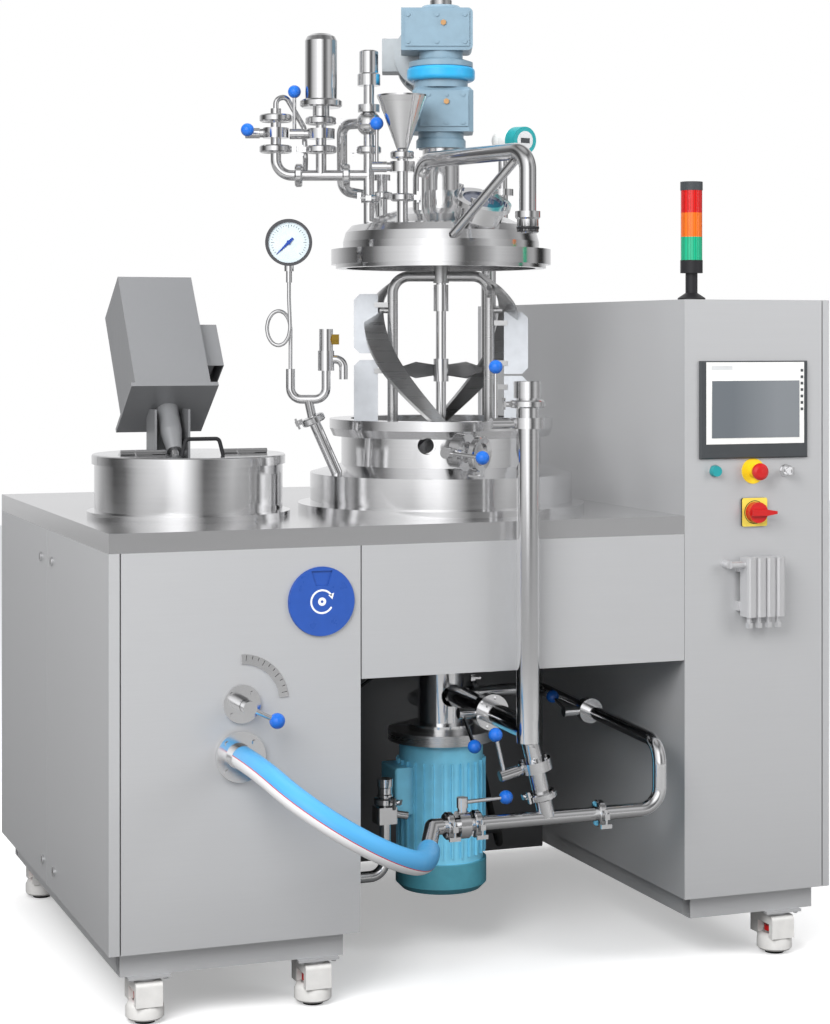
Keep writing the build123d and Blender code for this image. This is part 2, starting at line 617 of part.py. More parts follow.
def homogenizer():
    """Stator housing below the vessel, its rotor, and the flange motor."""
    low = MOTOR_FLANGE_TOP
    housing = post(VESSEL_X, VESSEL_Y, low, VESSEL_BOTTOM - 8, STATOR_RADIUS)
    chamber = 545
    housing -= post(VESSEL_X, VESSEL_Y, chamber, VESSEL_BOTTOM, STATOR_BORE - 6)
    housing -= post(VESSEL_X, VESSEL_Y, low - 1, chamber + 1, 13 + RUNNING_FIT)
    housing -= rod(OUTLET_PIPE[0], (VESSEL_X, VESSEL_Y, OUTLET_PIPE[1][2]), STAND_PIPE / 2 - PIPE_WALL)
    housing -= rod((VESSEL_X, VESSEL_Y, RETURN_BACK_Z), (VESSEL_X, VESSEL_Y + 100, RETURN_BACK_Z), LOWER_PIPE / 2 - PIPE_WALL)
    stator = post(VESSEL_X, VESSEL_Y, VESSEL_BOTTOM - 8, VESSEL_BOTTOM + 20, STATOR_BORE - 0.5) - post(VESSEL_X, VESSEL_Y, VESSEL_BOTTOM - 9, VESSEL_BOTTOM + 21, STATOR_BORE - 6)
    for index in range(12):
        slot = Pos(VESSEL_X, VESSEL_Y, VESSEL_BOTTOM + 12) * Rot(0, 0, index * 30) * Pos(STATOR_BORE - 3, 0, 0) * Box(12, 6, 12)
        stator -= slot
    flange = post(VESSEL_X, VESSEL_Y, MOTOR_FLANGE_TOP, MOTOR_FLANGE_TOP + 14, 80) - post(VESSEL_X, VESSEL_Y, 500, 560, 13 + RUNNING_FIT)
    place("homogenizer_housing", housing + stator + flange)

    rotor = post(VESSEL_X, VESSEL_Y, MOTOR_FLANGE_TOP - 60, 700, 13)
    rotor += post(VESSEL_X, VESSEL_Y, 690, VESSEL_BOTTOM + 18, 16)
    for index in range(4):
        blade = Pos(VESSEL_X, VESSEL_Y, VESSEL_BOTTOM + 4) * Rot(0, 0, index * 90) * Pos(ROTOR_RADIUS / 2, 0, 0) * Box(ROTOR_RADIUS, 8, 26)
        rotor += blade
    place("homogenizer_rotor", rotor)

    body_top = MOTOR_FLANGE_TOP - MOTOR_FLANGE_HEIGHT
    motor = post(VESSEL_X, VESSEL_Y, body_top, MOTOR_FLANGE_TOP - 0.0, MOTOR_FLANGE_RADIUS)
    motor += post(VESSEL_X, VESSEL_Y, MOTOR_BODY_BOTTOM, body_top, MOTOR_RADIUS)
    for index in range(FIN_COUNT):
        fin = Rot(0, 0, (index + 0.5) * 360 / FIN_COUNT) * Pos(MOTOR_RADIUS + MOTOR_FIN / 2 - 1, 0, 0) * Box(MOTOR_FIN + 2, 3.5, body_top - MOTOR_BODY_BOTTOM - 60)
        motor += Pos(VESSEL_X, VESSEL_Y, (body_top + MOTOR_BODY_BOTTOM) / 2 - 14) * fin
    cover = post(VESSEL_X, VESSEL_Y, FAN_COVER_BOTTOM, MOTOR_BODY_BOTTOM, MOTOR_RADIUS + 8)
    cover = chamfer(cover.edges().group_by(Axis.Z)[0], 14)
    motor += cover
    motor -= post(VESSEL_X, VESSEL_Y, MOTOR_FLANGE_TOP - 61, MOTOR_FLANGE_TOP + 1, 13 + RUNNING_FIT)
    box = block((VESSEL_X - MOTOR_RADIUS - 34, VESSEL_X - MOTOR_RADIUS + 12), (VESSEL_Y - 50, VESSEL_Y + 50), (330, 440))
    motor += fillet(box.edges().group_by(Axis.X)[0], 6)
    motor += rod(gland_spot(MOTOR_RADIUS - 12), gland_spot(113), 13)
    place("homogenizer_motor", motor)


def side_pot():
    """A jacketed pot let into the table, with a base ring."""
    t = 3.0
    inner = dish(POT_BORE, POT_BOTTOM, POT_DISH)
    outer = dish(POT_BORE + t, POT_BOTTOM - t, POT_DISH + t)
    hole = LID_PIPE / 2 + 3
    inner = [(hole, POT_BOTTOM + 0.5)] + inner[1:]
    outer = [(hole, POT_BOTTOM - t)] + outer[1:]
    profile = inner + [(POT_BORE, POT_LID_BOTTOM), (POT_RADIUS, POT_LID_BOTTOM), (POT_RADIUS, TABLE_Z + POT_RING_HEIGHT)]
    profile += [(POT_RING_RADIUS, TABLE_Z + POT_RING_HEIGHT), (POT_RING_RADIUS, TABLE_Z), (POT_BORE + t, TABLE_Z)] + outer[::-1]
    place("side_pot", turned(profile, POT_X, POT_Y))


STIRRER_WAY = (0.0, sin(radians(STIRRER_LEAN)), cos(radians(STIRRER_LEAN)))
STIRRER_FOOT = (STIRRER_X, STIRRER_Y, POT_LID_BOTTOM + POT_LID_HEIGHT)


def along_stirrer(distance, right=0.0, front=0.0):
    """A point on or beside the stirrer's leaning axis."""
    way = Vector(*STIRRER_WAY)
    side = Vector(1, 0, 0)
    forward = way.cross(side)
    point = Vector(*STIRRER_FOOT) + way * distance + side * right - forward * front
    return (point.X, point.Y, point.Z)


def side_pot_lid():
    """The fixed rear part of the lid and the hinged front hatch."""
    low, high = POT_LID_BOTTOM, POT_LID_BOTTOM + POT_LID_HEIGHT
    split = POT_Y + HATCH_SPLIT
    wall = 4.0
    cap = post(POT_X, POT_Y, low, high, POT_LID_RADIUS)
    cap = fillet(cap.edges().group_by(Axis.Z)[-1], 5)
    cap -= post(POT_X, POT_Y, low - 1, high - wall, POT_LID_RADIUS - wall) - post(POT_X, POT_Y, low - 1, high, POT_BORE - 4)
    cap -= post(POT_X, POT_Y, low - 1, high - wall, POT_BORE - 4)
    whole = cap
    rear = whole & block((0, 600), (split + 0.5, 900), (low - 2, high + 2))
    front = whole & block((0, 600), (0, split - 0.5), (low - 2, high + 2))
    hole = rod(along_stirrer(-60), along_stirrer(60), 22)
    rear -= hole
    front -= hole
    hinge_z = high + HINGE_RISE
    knuckles = []
    for offset, owner in ((-150, "rear"), (-115, "front"), (-80, "rear"), (90, "rear"), (125, "front"), (160, "rear")):
        span = ((POT_X + offset - 17, split, hinge_z), (POT_X + offset + 17, split, hinge_z))
        barrel = rod(*span, 5.5) - rod(*span, 2.5 + RUNNING_FIT)
        side = 1 if owner == "rear" else -1
        y_range = (split, split + 22) if side > 0 else (split - 22, split)
        leaf = block((POT_X + offset - 16.5, POT_X + offset + 16.5), y_range, (high, high + 2.5))
        leaf -= rod(*span, 2.5 + RUNNING_FIT)
        piece = barrel + leaf
        if owner == "rear":
            rear += piece
        else:
            front += piece
    for offset in (-115, 125):
        rear += rod((POT_X + offset - 50, split, hinge_z), (POT_X + offset + 50, split, hinge_z), 2.5)
    place("side_pot_lid", rear)
    handle = bent_bar(
        [(POT_X - 48, split - 90, high), (POT_X - 38, split - 90, high + 38), (POT_X + 38, split - 90, high + 38), (POT_X + 48, split - 90, high)],
        10, 9,
    )
    place("side_pot_hatch", front + handle)


HINGE_RISE = 5.5


def stirrer():
    """Bearing foot, bracket, leaning shaft, plate and sheet cover of the side pot's stirrer."""
    low = POT_LID_BOTTOM + POT_LID_HEIGHT
    bearing = rod(along_stirrer(8), along_stirrer(58), 17, 25) + rod(along_stirrer(58), along_stirrer(PLATE_DISTANCE), 25)
    bearing -= rod(along_stirrer(-5), along_stirrer(PLATE_DISTANCE + 1), STIRRER_SHAFT + RUNNING_FIT)
    foot = block((STIRRER_X - 42, STIRRER_X + 42), (STIRRER_Y + 36, STIRRER_Y + 100), (low, low + 5))
    web_left = block((STIRRER_X - 42, STIRRER_X - 37), (STIRRER_Y + 20, STIRRER_Y + 100), (low, low + 100))
    web_right = block((STIRRER_X + 37, STIRRER_X + 42), (STIRRER_Y + 20, STIRRER_Y + 100), (low, low + 100))
    back = block((STIRRER_X - 42, STIRRER_X + 42), (STIRRER_Y + 95, STIRRER_Y + 100), (low, low + 100))
    bracket = foot + web_left + web_right + back
    plate_plane = Plane(origin=along_stirrer(PLATE_DISTANCE), x_dir=(1, 0, 0), z_dir=STIRRER_WAY)
    plate = plate_plane * Pos(0, 0, PLATE_LIP / 2) * Box(PLATE_WIDTH, PLATE_DEPTH, PLATE_LIP)
    plate -= plate_plane * Pos(0, 0, PLATE_LIP / 2 + 3) * Box(PLATE_WIDTH - 6, PLATE_DEPTH - 6, PLATE_LIP)
    plate -= plate_plane * Cylinder(STIRRER_SHAFT + 4, 60)
    above = plate_plane * Pos(0, 0, 100) * Box(400, 400, 200)
    bracket -= above
    bracket -= rod(along_stirrer(-30), along_stirrer(200), 25.3)
    place("stirrer_mount", bearing, bracket, plate)

    cover_low = 3.4
    cover = plate_plane * Pos(0, 0, cover_low + COVER_HEIGHT / 2) * Box(COVER_WIDTH, COVER_DEPTH, COVER_HEIGHT)
    cover -= plate_plane * Pos(0, 0, cover_low + COVER_HEIGHT / 2 - SHEET) * Box(COVER_WIDTH - 2 * SHEET, COVER_DEPTH - 2 * SHEET, COVER_HEIGHT)
    hood = plate_plane * Pos(COVER_WIDTH / 2 + 26, 0, 150) * Box(52, 92, 118)
    hood -= plate_plane * Pos(COVER_WIDTH / 2 + 25, 0, 148) * Box(50, 88, 118)
    inlet = plate_plane * Pos(COVER_WIDTH / 2 + 20, 0, 150) * Box(40, 60, 70)
    place("stirrer_cover", cover, hood, inlet)

    drive = plate_plane * Pos(0, 0, 70) * (Cylinder(55, 120) - Pos(0, 0, -40) * Cylinder(STIRRER_SHAFT + 0.6, 60))
    place("stirrer_mount", drive)
    shaft = rod(along_stirrer(-250), along_stirrer(PLATE_DISTANCE + 40), STIRRER_SHAFT)
    blade_plane = Plane(origin=along_stirrer(-235), x_dir=(1, 0, 0), z_dir=STIRRER_WAY)
    for index in range(3):
        shaft += blade_plane * Rot(0, 0, index * 120) * Pos(20, 0, 0) * Rot(40, 0, 0) * Box(46, 24, 3)
    place("side_pot_stirrer", shaft)


def vessel_lid():
    """Flange and spigot, domed lid, neck rings and neck tube."""
    flange_low = LID_FLANGE_BOTTOM
    flange_top = flange_low + LID_FLANGE_HEIGHT
    knuckle = flange_top + DOME_CYLINDER
    def crown(radius, drop=0.0):
        return DOME_TOP - drop - (DOME_CROWN - sqrt(DOME_CROWN**2 - radius**2))
    outer = [(DOME_RADIUS, knuckle), (DOME_RADIUS - 6, knuckle + 22), (DOME_RADIUS - 20, knuckle + 38)]
    outer += [(r, crown(r)) for r in (190, 150, 105, NECK_RING_RADIUS)]
    inner = [(HOLLOW_SHAFT_RADIUS + 12, crown(HOLLOW_SHAFT_RADIUS + 12, LID_WALL))]
    inner += [(r, crown(r, LID_WALL)) for r in (60, 105, 150, 188)]
    inner += [(DOME_RADIUS - 24, knuckle + 32), (DOME_RADIUS - 11, knuckle + 18), (DOME_RADIUS - LID_WALL, knuckle - 4)]
    bore = HOLLOW_SHAFT_RADIUS + RUNNING_FIT
    profile = [
        (bore, NECK_RING_TOP + 10), (bore, 1740), (HOLLOW_SHAFT_RADIUS + 12, 1740),
    ] + inner + [
        (VESSEL_BORE + 10, flange_top - 12), (VESSEL_BORE + 10, SPIGOT_BOTTOM), (SPIGOT_RADIUS, SPIGOT_BOTTOM),
        (SPIGOT_RADIUS, flange_low), (LID_FLANGE_RADIUS, flange_low), (LID_FLANGE_RADIUS, flange_top),
        (DOME_RADIUS, flange_top),
    ] + outer + [
        (NECK_RING_RADIUS, NECK_RING_TOP), (NECK_TUBE_RADIUS, NECK_RING_TOP), (NECK_TUBE_RADIUS, NECK_TUBE_TOP),
        (SHAFT_RADIUS + RUNNING_FIT, NECK_TUBE_TOP), (SHAFT_RADIUS + RUNNING_FIT, NECK_RING_TOP + 10),
    ]
    lid = turned(profile, VESSEL_X, VESSEL_Y)
    lid = lid - cut_list("lid")
    place("vessel_lid", lid)


def cut_list(kind):
    """Openings in the lid under its ports and the sight glass."""
    cuts = []
    for right, back in LID_PORTS:
        cuts.append(rod(on_lid(right, back, 1690), on_lid(right, back, 1775), LID_PIPE / 2 - PIPE_WALL))
    glass_plane, _ = between(SIGHT_FOOT, SIGHT_TOP)
    cuts.append(glass_plane * Cylinder(40, 90))
    return Compound(cuts)


CHECK_SPOT = (-171.0, -32.0)
FUNNEL_SPOT = (-91.0, -156.0)
REAR_SPOT = (-141.0, 62.0)
LEVEL_SPOT = (150.0, 70.0)
FEED_SPOT = (-48.0, -90.0)
LID_PORTS = [CHECK_SPOT, FUNNEL_SPOT, REAR_SPOT, LEVEL_SPOT, FEED_SPOT]
FILTER_RIGHT = -284.0
VACUUM_RIGHT = -391.0
ROW_BACK = -32.0
MANIFOLD_Z = 1832.0
SIGHT_ANGLE = -60.8
SIGHT_RADIUS = 172.0
SIGHT_TILT = 27.0


def sight_point(distance):
    """A point on the sight glass's leaning axis, measured outwards from the dome."""
    right, back = SIGHT_RADIUS * cos(radians(SIGHT_ANGLE)), SIGHT_RADIUS * sin(radians(SIGHT_ANGLE))
    foot = Vector(*on_lid(right, back, 1724))
    way = lid_way(cos(radians(SIGHT_ANGLE)) * sin(radians(SIGHT_TILT)), sin(radians(SIGHT_ANGLE)) * sin(radians(SIGHT_TILT)), cos(radians(SIGHT_TILT)))
    point = foot + way * distance
    return (point.X, point.Y, point.Z)


SIGHT_FOOT = sight_point(0)
SIGHT_TOP = sight_point(60)


def dome_cutter():
    """The space under the dome's outer face, taken away from pieces that stand on it."""
    knuckle = LID_FLANGE_BOTTOM + LID_FLANGE_HEIGHT + DOME_CYLINDER
    outer = [(DOME_RADIUS, knuckle), (DOME_RADIUS - 6, knuckle + 22), (DOME_RADIUS - 20, knuckle + 38)]
    outer += [(r, DOME_TOP - (DOME_CROWN - sqrt(DOME_CROWN**2 - r**2))) for r in (190, 150, 105, NECK_RING_RADIUS)]
    profile = [(0, LID_FLANGE_BOTTOM), (DOME_RADIUS, LID_FLANGE_BOTTOM)] + outer
    profile += [(NECK_RING_RADIUS, NECK_RING_TOP), (NECK_TUBE_RADIUS, NECK_RING_TOP), (NECK_TUBE_RADIUS, NECK_TUBE_TOP), (0, NECK_TUBE_TOP)]
    return turned(profile, VESSEL_X, VESSEL_Y)


def sight_glass(dome):
    """Leaning nozzle, screwed ring, glass and wing nuts."""
    nozzle = tube(sight_point(-20), sight_point(36), 56, 46) - dome
    ring = tube(sight_point(36), sight_point(48), 68, 47)
    glass = rod(sight_point(36), sight_point(44), 46.9)
    place("sight_glass", nozzle, ring, glass)
    plane, _ = between(sight_point(48), sight_point(60))
    for index in range(4):
        angle = radians(45 + 90 * index)
        stud = plane * Pos(58 * cos(angle), 58 * sin(angle), 8) * Cylinder(4, 16)
        stud += plane * Pos(58 * cos(angle), 58 * sin(angle), 9) * Box(24, 5, 9)
        place("sight_glass", stud)


def air_filter():
    """Domed filter housing on its clamp and neck."""
    body = turned([
        (0, 2011), (38, 2011), (38, 2150), (33, 2160), (22, 2166), (0, 2167.5),
    ])
    foot = turned([(0, 1992), (20, 1992), (20, 1972), (0, 1972)])
    x, y, _ = on_lid(FILTER_RIGHT, ROW_BACK, 0)
    place("air_filter", Pos(x, y, 0) * body, Pos(x, y, 0) * turned([(0, 1992), (45, 1992), (50, 1996), (50, 2007), (45, 2011), (0, 2011)]), Pos(x, y, 0) * foot)


def feed_funnel():
    """Sheet cone on a tube, over its valve."""
    x, y, _ = on_lid(*FUNNEL_SPOT, 0)
    rim, wall = 59.0, 2.0
    cone = turned([
        (LID_PIPE / 2 - PIPE_WALL, 1859), (LID_PIPE / 2, 1859), (LID_PIPE / 2, 1882), (rim - 6, 1990), (rim, 2004),
        (rim, 2008), (rim - wall, 2008), (rim - 8, 1990), (LID_PIPE / 2 - PIPE_WALL, 1884),
    ], x, y)
    place("feed_funnel", cone)


def lid_valves():
    up = (0, 0, 1)
    left = lid_way(-1, 0, 0)
    front = lid_way(0, -1, 0)
    return {
        "filter_valve_handle": Valve(on_lid(FILTER_RIGHT, ROW_BACK, 1930), up, left, up, LID_PIPE, reach=20, hub_length=34, lever_length=100),
        "vacuum_valve_handle": Valve(on_lid(VACUUM_RIGHT, ROW_BACK, 1932), up, left, front, LID_PIPE, reach=18, hub_length=34, lever_length=84),
        "funnel_valve_handle": Valve(on_lid(*FUNNEL_SPOT, 1843), up, left, up, LID_PIPE, reach=16, hub_length=34, lever_length=100),
    }


def lid_piping(valves, dome):
    """Vacuum manifold, check column, rear return pipe, clamps and valve bodies on the lid."""
    pipes = []
    row = ROW_BACK
    pipes.append(bent_bar(
        [on_lid(VACUUM_RIGHT, row, 1990), on_lid(VACUUM_RIGHT, row, MANIFOLD_Z), on_lid(CHECK_SPOT[0], row, MANIFOLD_Z)],
        38, LID_PIPE,
    ))
    pipes.append(rod(on_lid(FILTER_RIGHT, row, MANIFOLD_Z), on_lid(FILTER_RIGHT, row, 1972), LID_PIPE / 2))
    pipes.append(rod(on_lid(*CHECK_SPOT, 1700), on_lid(*CHECK_SPOT, 2045), LID_PIPE / 2))
    bulb = Pos(*on_lid(*CHECK_SPOT, 1955)) * Sphere(30)
    pipes.append(bulb)
    x, y, _ = on_lid(*CHECK_SPOT, 0)
    pipes.append(turned([(0, 2044), (27, 2044), (27, 2070), (22.5, 2074), (22.5, 2124), (19, 2127), (0, 2127)], x, y))
    pipes.append(turned([(0, 1981), (26, 1981), (26, 1999), (0, 1999)], x, y))
    pipes.append(bent_bar(
        [on_lid(CHECK_SPOT[0] - 20, row, 1955), on_lid(-236, row + 34, 1955), on_lid(-236, row + 70, 1800), on_lid(-165, row + 118, 1790), on_lid(-150, row + 118, 1700)],
        32, LID_PIPE,
    ))
    for spot, top in ((REAR_SPOT, 1826), (FUNNEL_SPOT, 1859)):
        pipes.append(rod(on_lid(*spot, 1700), on_lid(*spot, top), LID_PIPE / 2))
    x, y, _ = on_lid(*REAR_SPOT, 0)
    pipes.append(turned([(0, 1826), (20, 1826), (20, 1840), (0, 1840)], x, y))
    # Thin bypass line from the vacuum valve's top back to the manifold
    pipes.append(bent_bar(
        [on_lid(VACUUM_RIGHT, row, 1985), on_lid(VACUUM_RIGHT, row, 2012), on_lid(-368, row + 9, 2020), on_lid(-326, row + 30, 1948), on_lid(-322, row + 26, 1872), on_lid(-322, row, MANIFOLD_Z)],
        16, 13,
    ))
    whole = pipes[0]
    for piece in pipes[1:]:
        whole += piece
    whole -= dome
    for right, back in (CHECK_SPOT, FUNNEL_SPOT):
        whole -= rod(on_lid(right, back, 1700), on_lid(right, back, 1800), LID_PIPE / 2 - PIPE_WALL)
    for valve in valves.values():
        whole -= valve.slot() + valve.bore()
    bodies = [valve.body() for valve in valves.values()]
    place("lid_piping", whole, *bodies)
    up = (0, 0, 1)
    front, left, right_way = lid_way(0, -1, 0), lid_way(-1, 0, 0), lid_way(1, 0, 0)
    rings = []
    for center, axis, reach, lug in (
        (on_lid(FILTER_RIGHT, row, 1961), up, 24, right_way), (on_lid(FILTER_RIGHT, row, 1893), up, 24, left),
        (on_lid(VACUUM_RIGHT, row, 1967), up, 26, None), (on_lid(VACUUM_RIGHT, row, 1894), up, 26, right_way),
        (on_lid(-337, row, MANIFOLD_Z), left, 15, None), (on_lid(-224, row, MANIFOLD_Z), left, 15, None),
        (on_lid(*CHECK_SPOT, 1776), up, 15, front), (on_lid(*CHECK_SPOT, 1892), up, 17, left),
        (on_lid(*FUNNEL_SPOT, 1870), up, 15, right_way), (on_lid(*FUNNEL_SPOT, 1772), up, 15, right_way),
        (on_lid(*REAR_SPOT, 1790), up, 13, None),
    ):
        rings += clamp(center, axis, LID_PIPE, reach, lug)
    place("lid_piping", *[ring - whole for ring in rings])


def feed_pipe(dome):
    """Pipe from the lid's rear port round the neck and out over the standpipe, ending in a plug with a seal ring."""
    end_z = SOCKET_TOP + LID_TRAVEL - PLUG_DEPTH
    level = 1862.0
    start = on_lid(*FEED_SPOT, 1700)
    pipe = bent_bar(
        [start, on_lid(*FEED_SPOT, level), (STAND_X, STAND_Y, level), (STAND_X, STAND_Y, end_z + 30)],
        44, FEED_PIPE,
    )
    pipe -= dome
    plug = turned([(0, end_z), (PLUG_RADIUS - 2, end_z), (PLUG_RADIUS, end_z + 2), (PLUG_RADIUS, end_z + 30), (28, end_z + 34), (28, end_z + 48), (0, end_z + 48)], STAND_X, STAND_Y)
    seal = turned([(PLUG_RADIUS, end_z + 8), (PLUG_RADIUS + 1.1, end_z + 9), (PLUG_RADIUS + 1.1, end_z + 14), (PLUG_RADIUS, end_z + 15)], STAND_X, STAND_Y)
    stay = rod(on_lid(25, -231, 1684), on_lid(160, -350, 1842), 10.5)
    stay -= dome
    place("feed_pipe", pipe + plug + stay, seal)


def level_transmitter(dome):
    """Stem on a port, and a round head that faces the operator."""
    top = 1900.0
    stem = rod(on_lid(*LEVEL_SPOT, 1700), on_lid(*LEVEL_SPOT, 1800), LID_PIPE / 2) - dome
    stem += rod(on_lid(*LEVEL_SPOT, 1790), on_lid(*LEVEL_SPOT, 1806), 26)
    stem += rod(on_lid(*LEVEL_SPOT, 1806), on_lid(*LEVEL_SPOT, top), 11)
    foot = on_lid(LEVEL_SPOT[0], LEVEL_SPOT[1], top + 22)
    body = Pos(*foot) * Sphere(27)
    head = rod(on_lid(LEVEL_SPOT[0], LEVEL_SPOT[1], top + 22), on_lid(LEVEL_SPOT[0] + 40, LEVEL_SPOT[1] - 60, top + 18), 24)
    face = rod(on_lid(LEVEL_SPOT[0] + 30, LEVEL_SPOT[1] - 45, top + 19), on_lid(LEVEL_SPOT[0] + 50, LEVEL_SPOT[1] - 75, top + 17), 33)
    place("level_transmitter", stem + body + head + face)


def agitator_drive():
    """Lower gearbox, seal ring, upper gearbox, motor, hub cap and bolts, drawn round the vessel's axis."""
    pieces = []
    collar = turned([
        (SHAFT_RADIUS + RUNNING_FIT, NECK_TUBE_TOP), (59, NECK_TUBE_TOP), (59, 1916), (54, 1922), (54, LOWER_BOX_BOTTOM),
        (0, LOWER_BOX_BOTTOM), (0, 1912), (SHAFT_RADIUS + RUNNING_FIT, 1912),
    ])
    half = LOWER_BOX / 2
    lower = block((-68, 76), (-half, half), (LOWER_BOX_BOTTOM, LOWER_BOX_TOP))
    lower = chamfer(lower.edges().filter_by(Axis.Z), 10)
    lower = chamfer(lower.edges().group_by(Axis.Z)[-1], 9)
    plate = block((-50, 64), (-half - 4, -half), (LOWER_BOX_BOTTOM + 12, LOWER_BOX_TOP - 12))
    stack = post(0, 0, LOWER_BOX_TOP, BLUE_RING_BOTTOM, 64)
    ring = fillet(post(0, 0, BLUE_RING_BOTTOM, BLUE_RING_TOP, BLUE_RING_RADIUS).edges(), 10)
    neck = turned([(0, BLUE_RING_TOP), (76, BLUE_RING_TOP), (76, BLUE_RING_TOP + 12), (52, BLUE_RING_TOP + 20), (52, UPPER_BOX_BOTTOM), (0, UPPER_BOX_BOTTOM)])
    offset = -10
    upper = block((offset - UPPER_BOX_WIDTH / 2, offset + UPPER_BOX_WIDTH / 2), (-UPPER_BOX_DEPTH / 2, UPPER_BOX_DEPTH / 2), (UPPER_BOX_BOTTOM, UPPER_BOX_TOP))
    upper = fillet(upper.edges().filter_by(Axis.Y).group_by(Axis.X)[-1], 12)
    face = -UPPER_BOX_DEPTH / 2
    lid_plate = block((offset - UPPER_BOX_WIDTH / 2 + 10, offset + UPPER_BOX_WIDTH / 2 - 8), (face - 4, face), (UPPER_BOX_BOTTOM + 9, UPPER_BOX_TOP - 8))
    cap = turned([(0, UPPER_BOX_TOP), (50, UPPER_BOX_TOP), (50, UPPER_BOX_TOP + 4), (44, UPPER_BOX_TOP + 10), (26, UPPER_BOX_TOP + 10), (26, UPPER_BOX_TOP + 24), (0, UPPER_BOX_TOP + 24)])
    pieces += [collar + lower + plate + stack + neck + upper + lid_plate + cap, ring]
    for dx in (-68, 0, 66):
        for z in (UPPER_BOX_BOTTOM + 19, UPPER_BOX_TOP - 17):
            pieces += flange_bolts((offset + dx, face - 4, z), (0, -1, 0), 0, 1, 5, 3)
    for dx in (-30, 12, 52):
        for z in (LOWER_BOX_BOTTOM + 20, LOWER_BOX_TOP - 20):
            pieces += flange_bolts((dx, -half - 4, z), (0, -1, 0), 0, 1, 4.5, 3)
    for x, y, z in ((5, face - 4, 2190), (12, -half - 4, 2004)):
        pieces += flange_bolts((x, y, z), (0, -1, 0), 0, 1, 7, 5)
    motor_x, motor_z = -30.0, 2132.0
    start = UPPER_BOX_DEPTH / 2
    motor = rod((motor_x, start, motor_z + 34), (motor_x, start + 30, motor_z + 34), 44)
    motor += rod((motor_x, start + 28, motor_z), (motor_x, start + 44, motor_z), DRIVE_MOTOR_RADIUS + 4)
    motor += rod((motor_x, start + 44, motor_z), (motor_x, start + DRIVE_MOTOR_LENGTH - 50, motor_z), DRIVE_MOTOR_RADIUS - 8)
    for index in range(20):
        fin = Rot(0, index * 18 + 9, 0) * Pos(DRIVE_MOTOR_RADIUS - 5, 0, 0) * Box(10, DRIVE_MOTOR_LENGTH - 98, 3.5)
        motor += Pos(motor_x, start + (DRIVE_MOTOR_LENGTH - 6) / 2, motor_z) * fin
    motor += rod((motor_x, start + DRIVE_MOTOR_LENGTH - 50, motor_z), (motor_x, start + DRIVE_MOTOR_LENGTH, motor_z), DRIVE_MOTOR_RADIUS)
    motor += block((motor_x - 112, motor_x - 40), (start + 62, start + 142), (motor_z - 36, motor_z + 44))
    pieces.append(motor)
    place("agitator_drive", *[spin_about_axis(piece, 0) for piece in pieces])


def lift():
    """Barrel under the table, and the rod and arm that carry the lid."""
    spot = on_lid(LIFT_RIGHT, LIFT_BACK, 0)
    low, high = LIFT_BARREL_BOTTOM, TABLE_Z
    barrel = post(spot[0], spot[1], low, high + 6, LIFT_BARREL_RADIUS) + post(spot[0], spot[1], high, high + 14, 52)
    barrel -= post(spot[0], spot[1], low + 10, high + 20, LIFT_ROD_RADIUS + RUNNING_FIT)
    place("lift_column", barrel)
    rod_low = low + 12 + LID_TRAVEL
    arm_low, arm_high = LIFT_ARM_BOTTOM, LIFT_ARM_BOTTOM + LIFT_ARM_HEIGHT
    arm_rod = post(spot[0], spot[1], rod_low, arm_high, LIFT_ROD_RADIUS)
    boss = post(spot[0], spot[1], arm_low - 6, arm_high + 6, 30)
    reach_plane = Plane(origin=(VESSEL_X, VESSEL_Y, (arm_low + arm_high) / 2), x_dir=lid_way(LIFT_RIGHT, LIFT_BACK, 0), z_dir=(0, 0, 1))
    span = hypot(LIFT_RIGHT, LIFT_BACK)
    arm = reach_plane * Pos((DOME_RADIUS - 20 + span) / 2, 0, 0) * Box(span - DOME_RADIUS + 20, LIFT_ARM_WIDTH, LIFT_ARM_HEIGHT)
    arm -= post(VESSEL_X, VESSEL_Y, arm_low - 1, arm_high + 1, DOME_RADIUS)
    saddle = (post(VESSEL_X, VESSEL_Y, LID_FLANGE_BOTTOM + LID_FLANGE_HEIGHT, LID_FLANGE_BOTTOM + LID_FLANGE_HEIGHT + 16, LID_FLANGE_RADIUS - 2) - post(VESSEL_X, VESSEL_Y, 1600, 1760, DOME_RADIUS))
    wedge = reach_plane * Pos(DOME_RADIUS, 0, 0) * Box(80, 260, 200)
    saddle = saddle & wedge
    place("lift_arm", arm_rod + boss + arm + saddle)


def spin_about_axis(shape, angle):
    """Turns a shape about the vessel's axis, from the direction of the lid's fittings."""
    return Pos(VESSEL_X, VESSEL_Y, 0) * Rot(0, 0, angle - FITTING_TURN) * shape


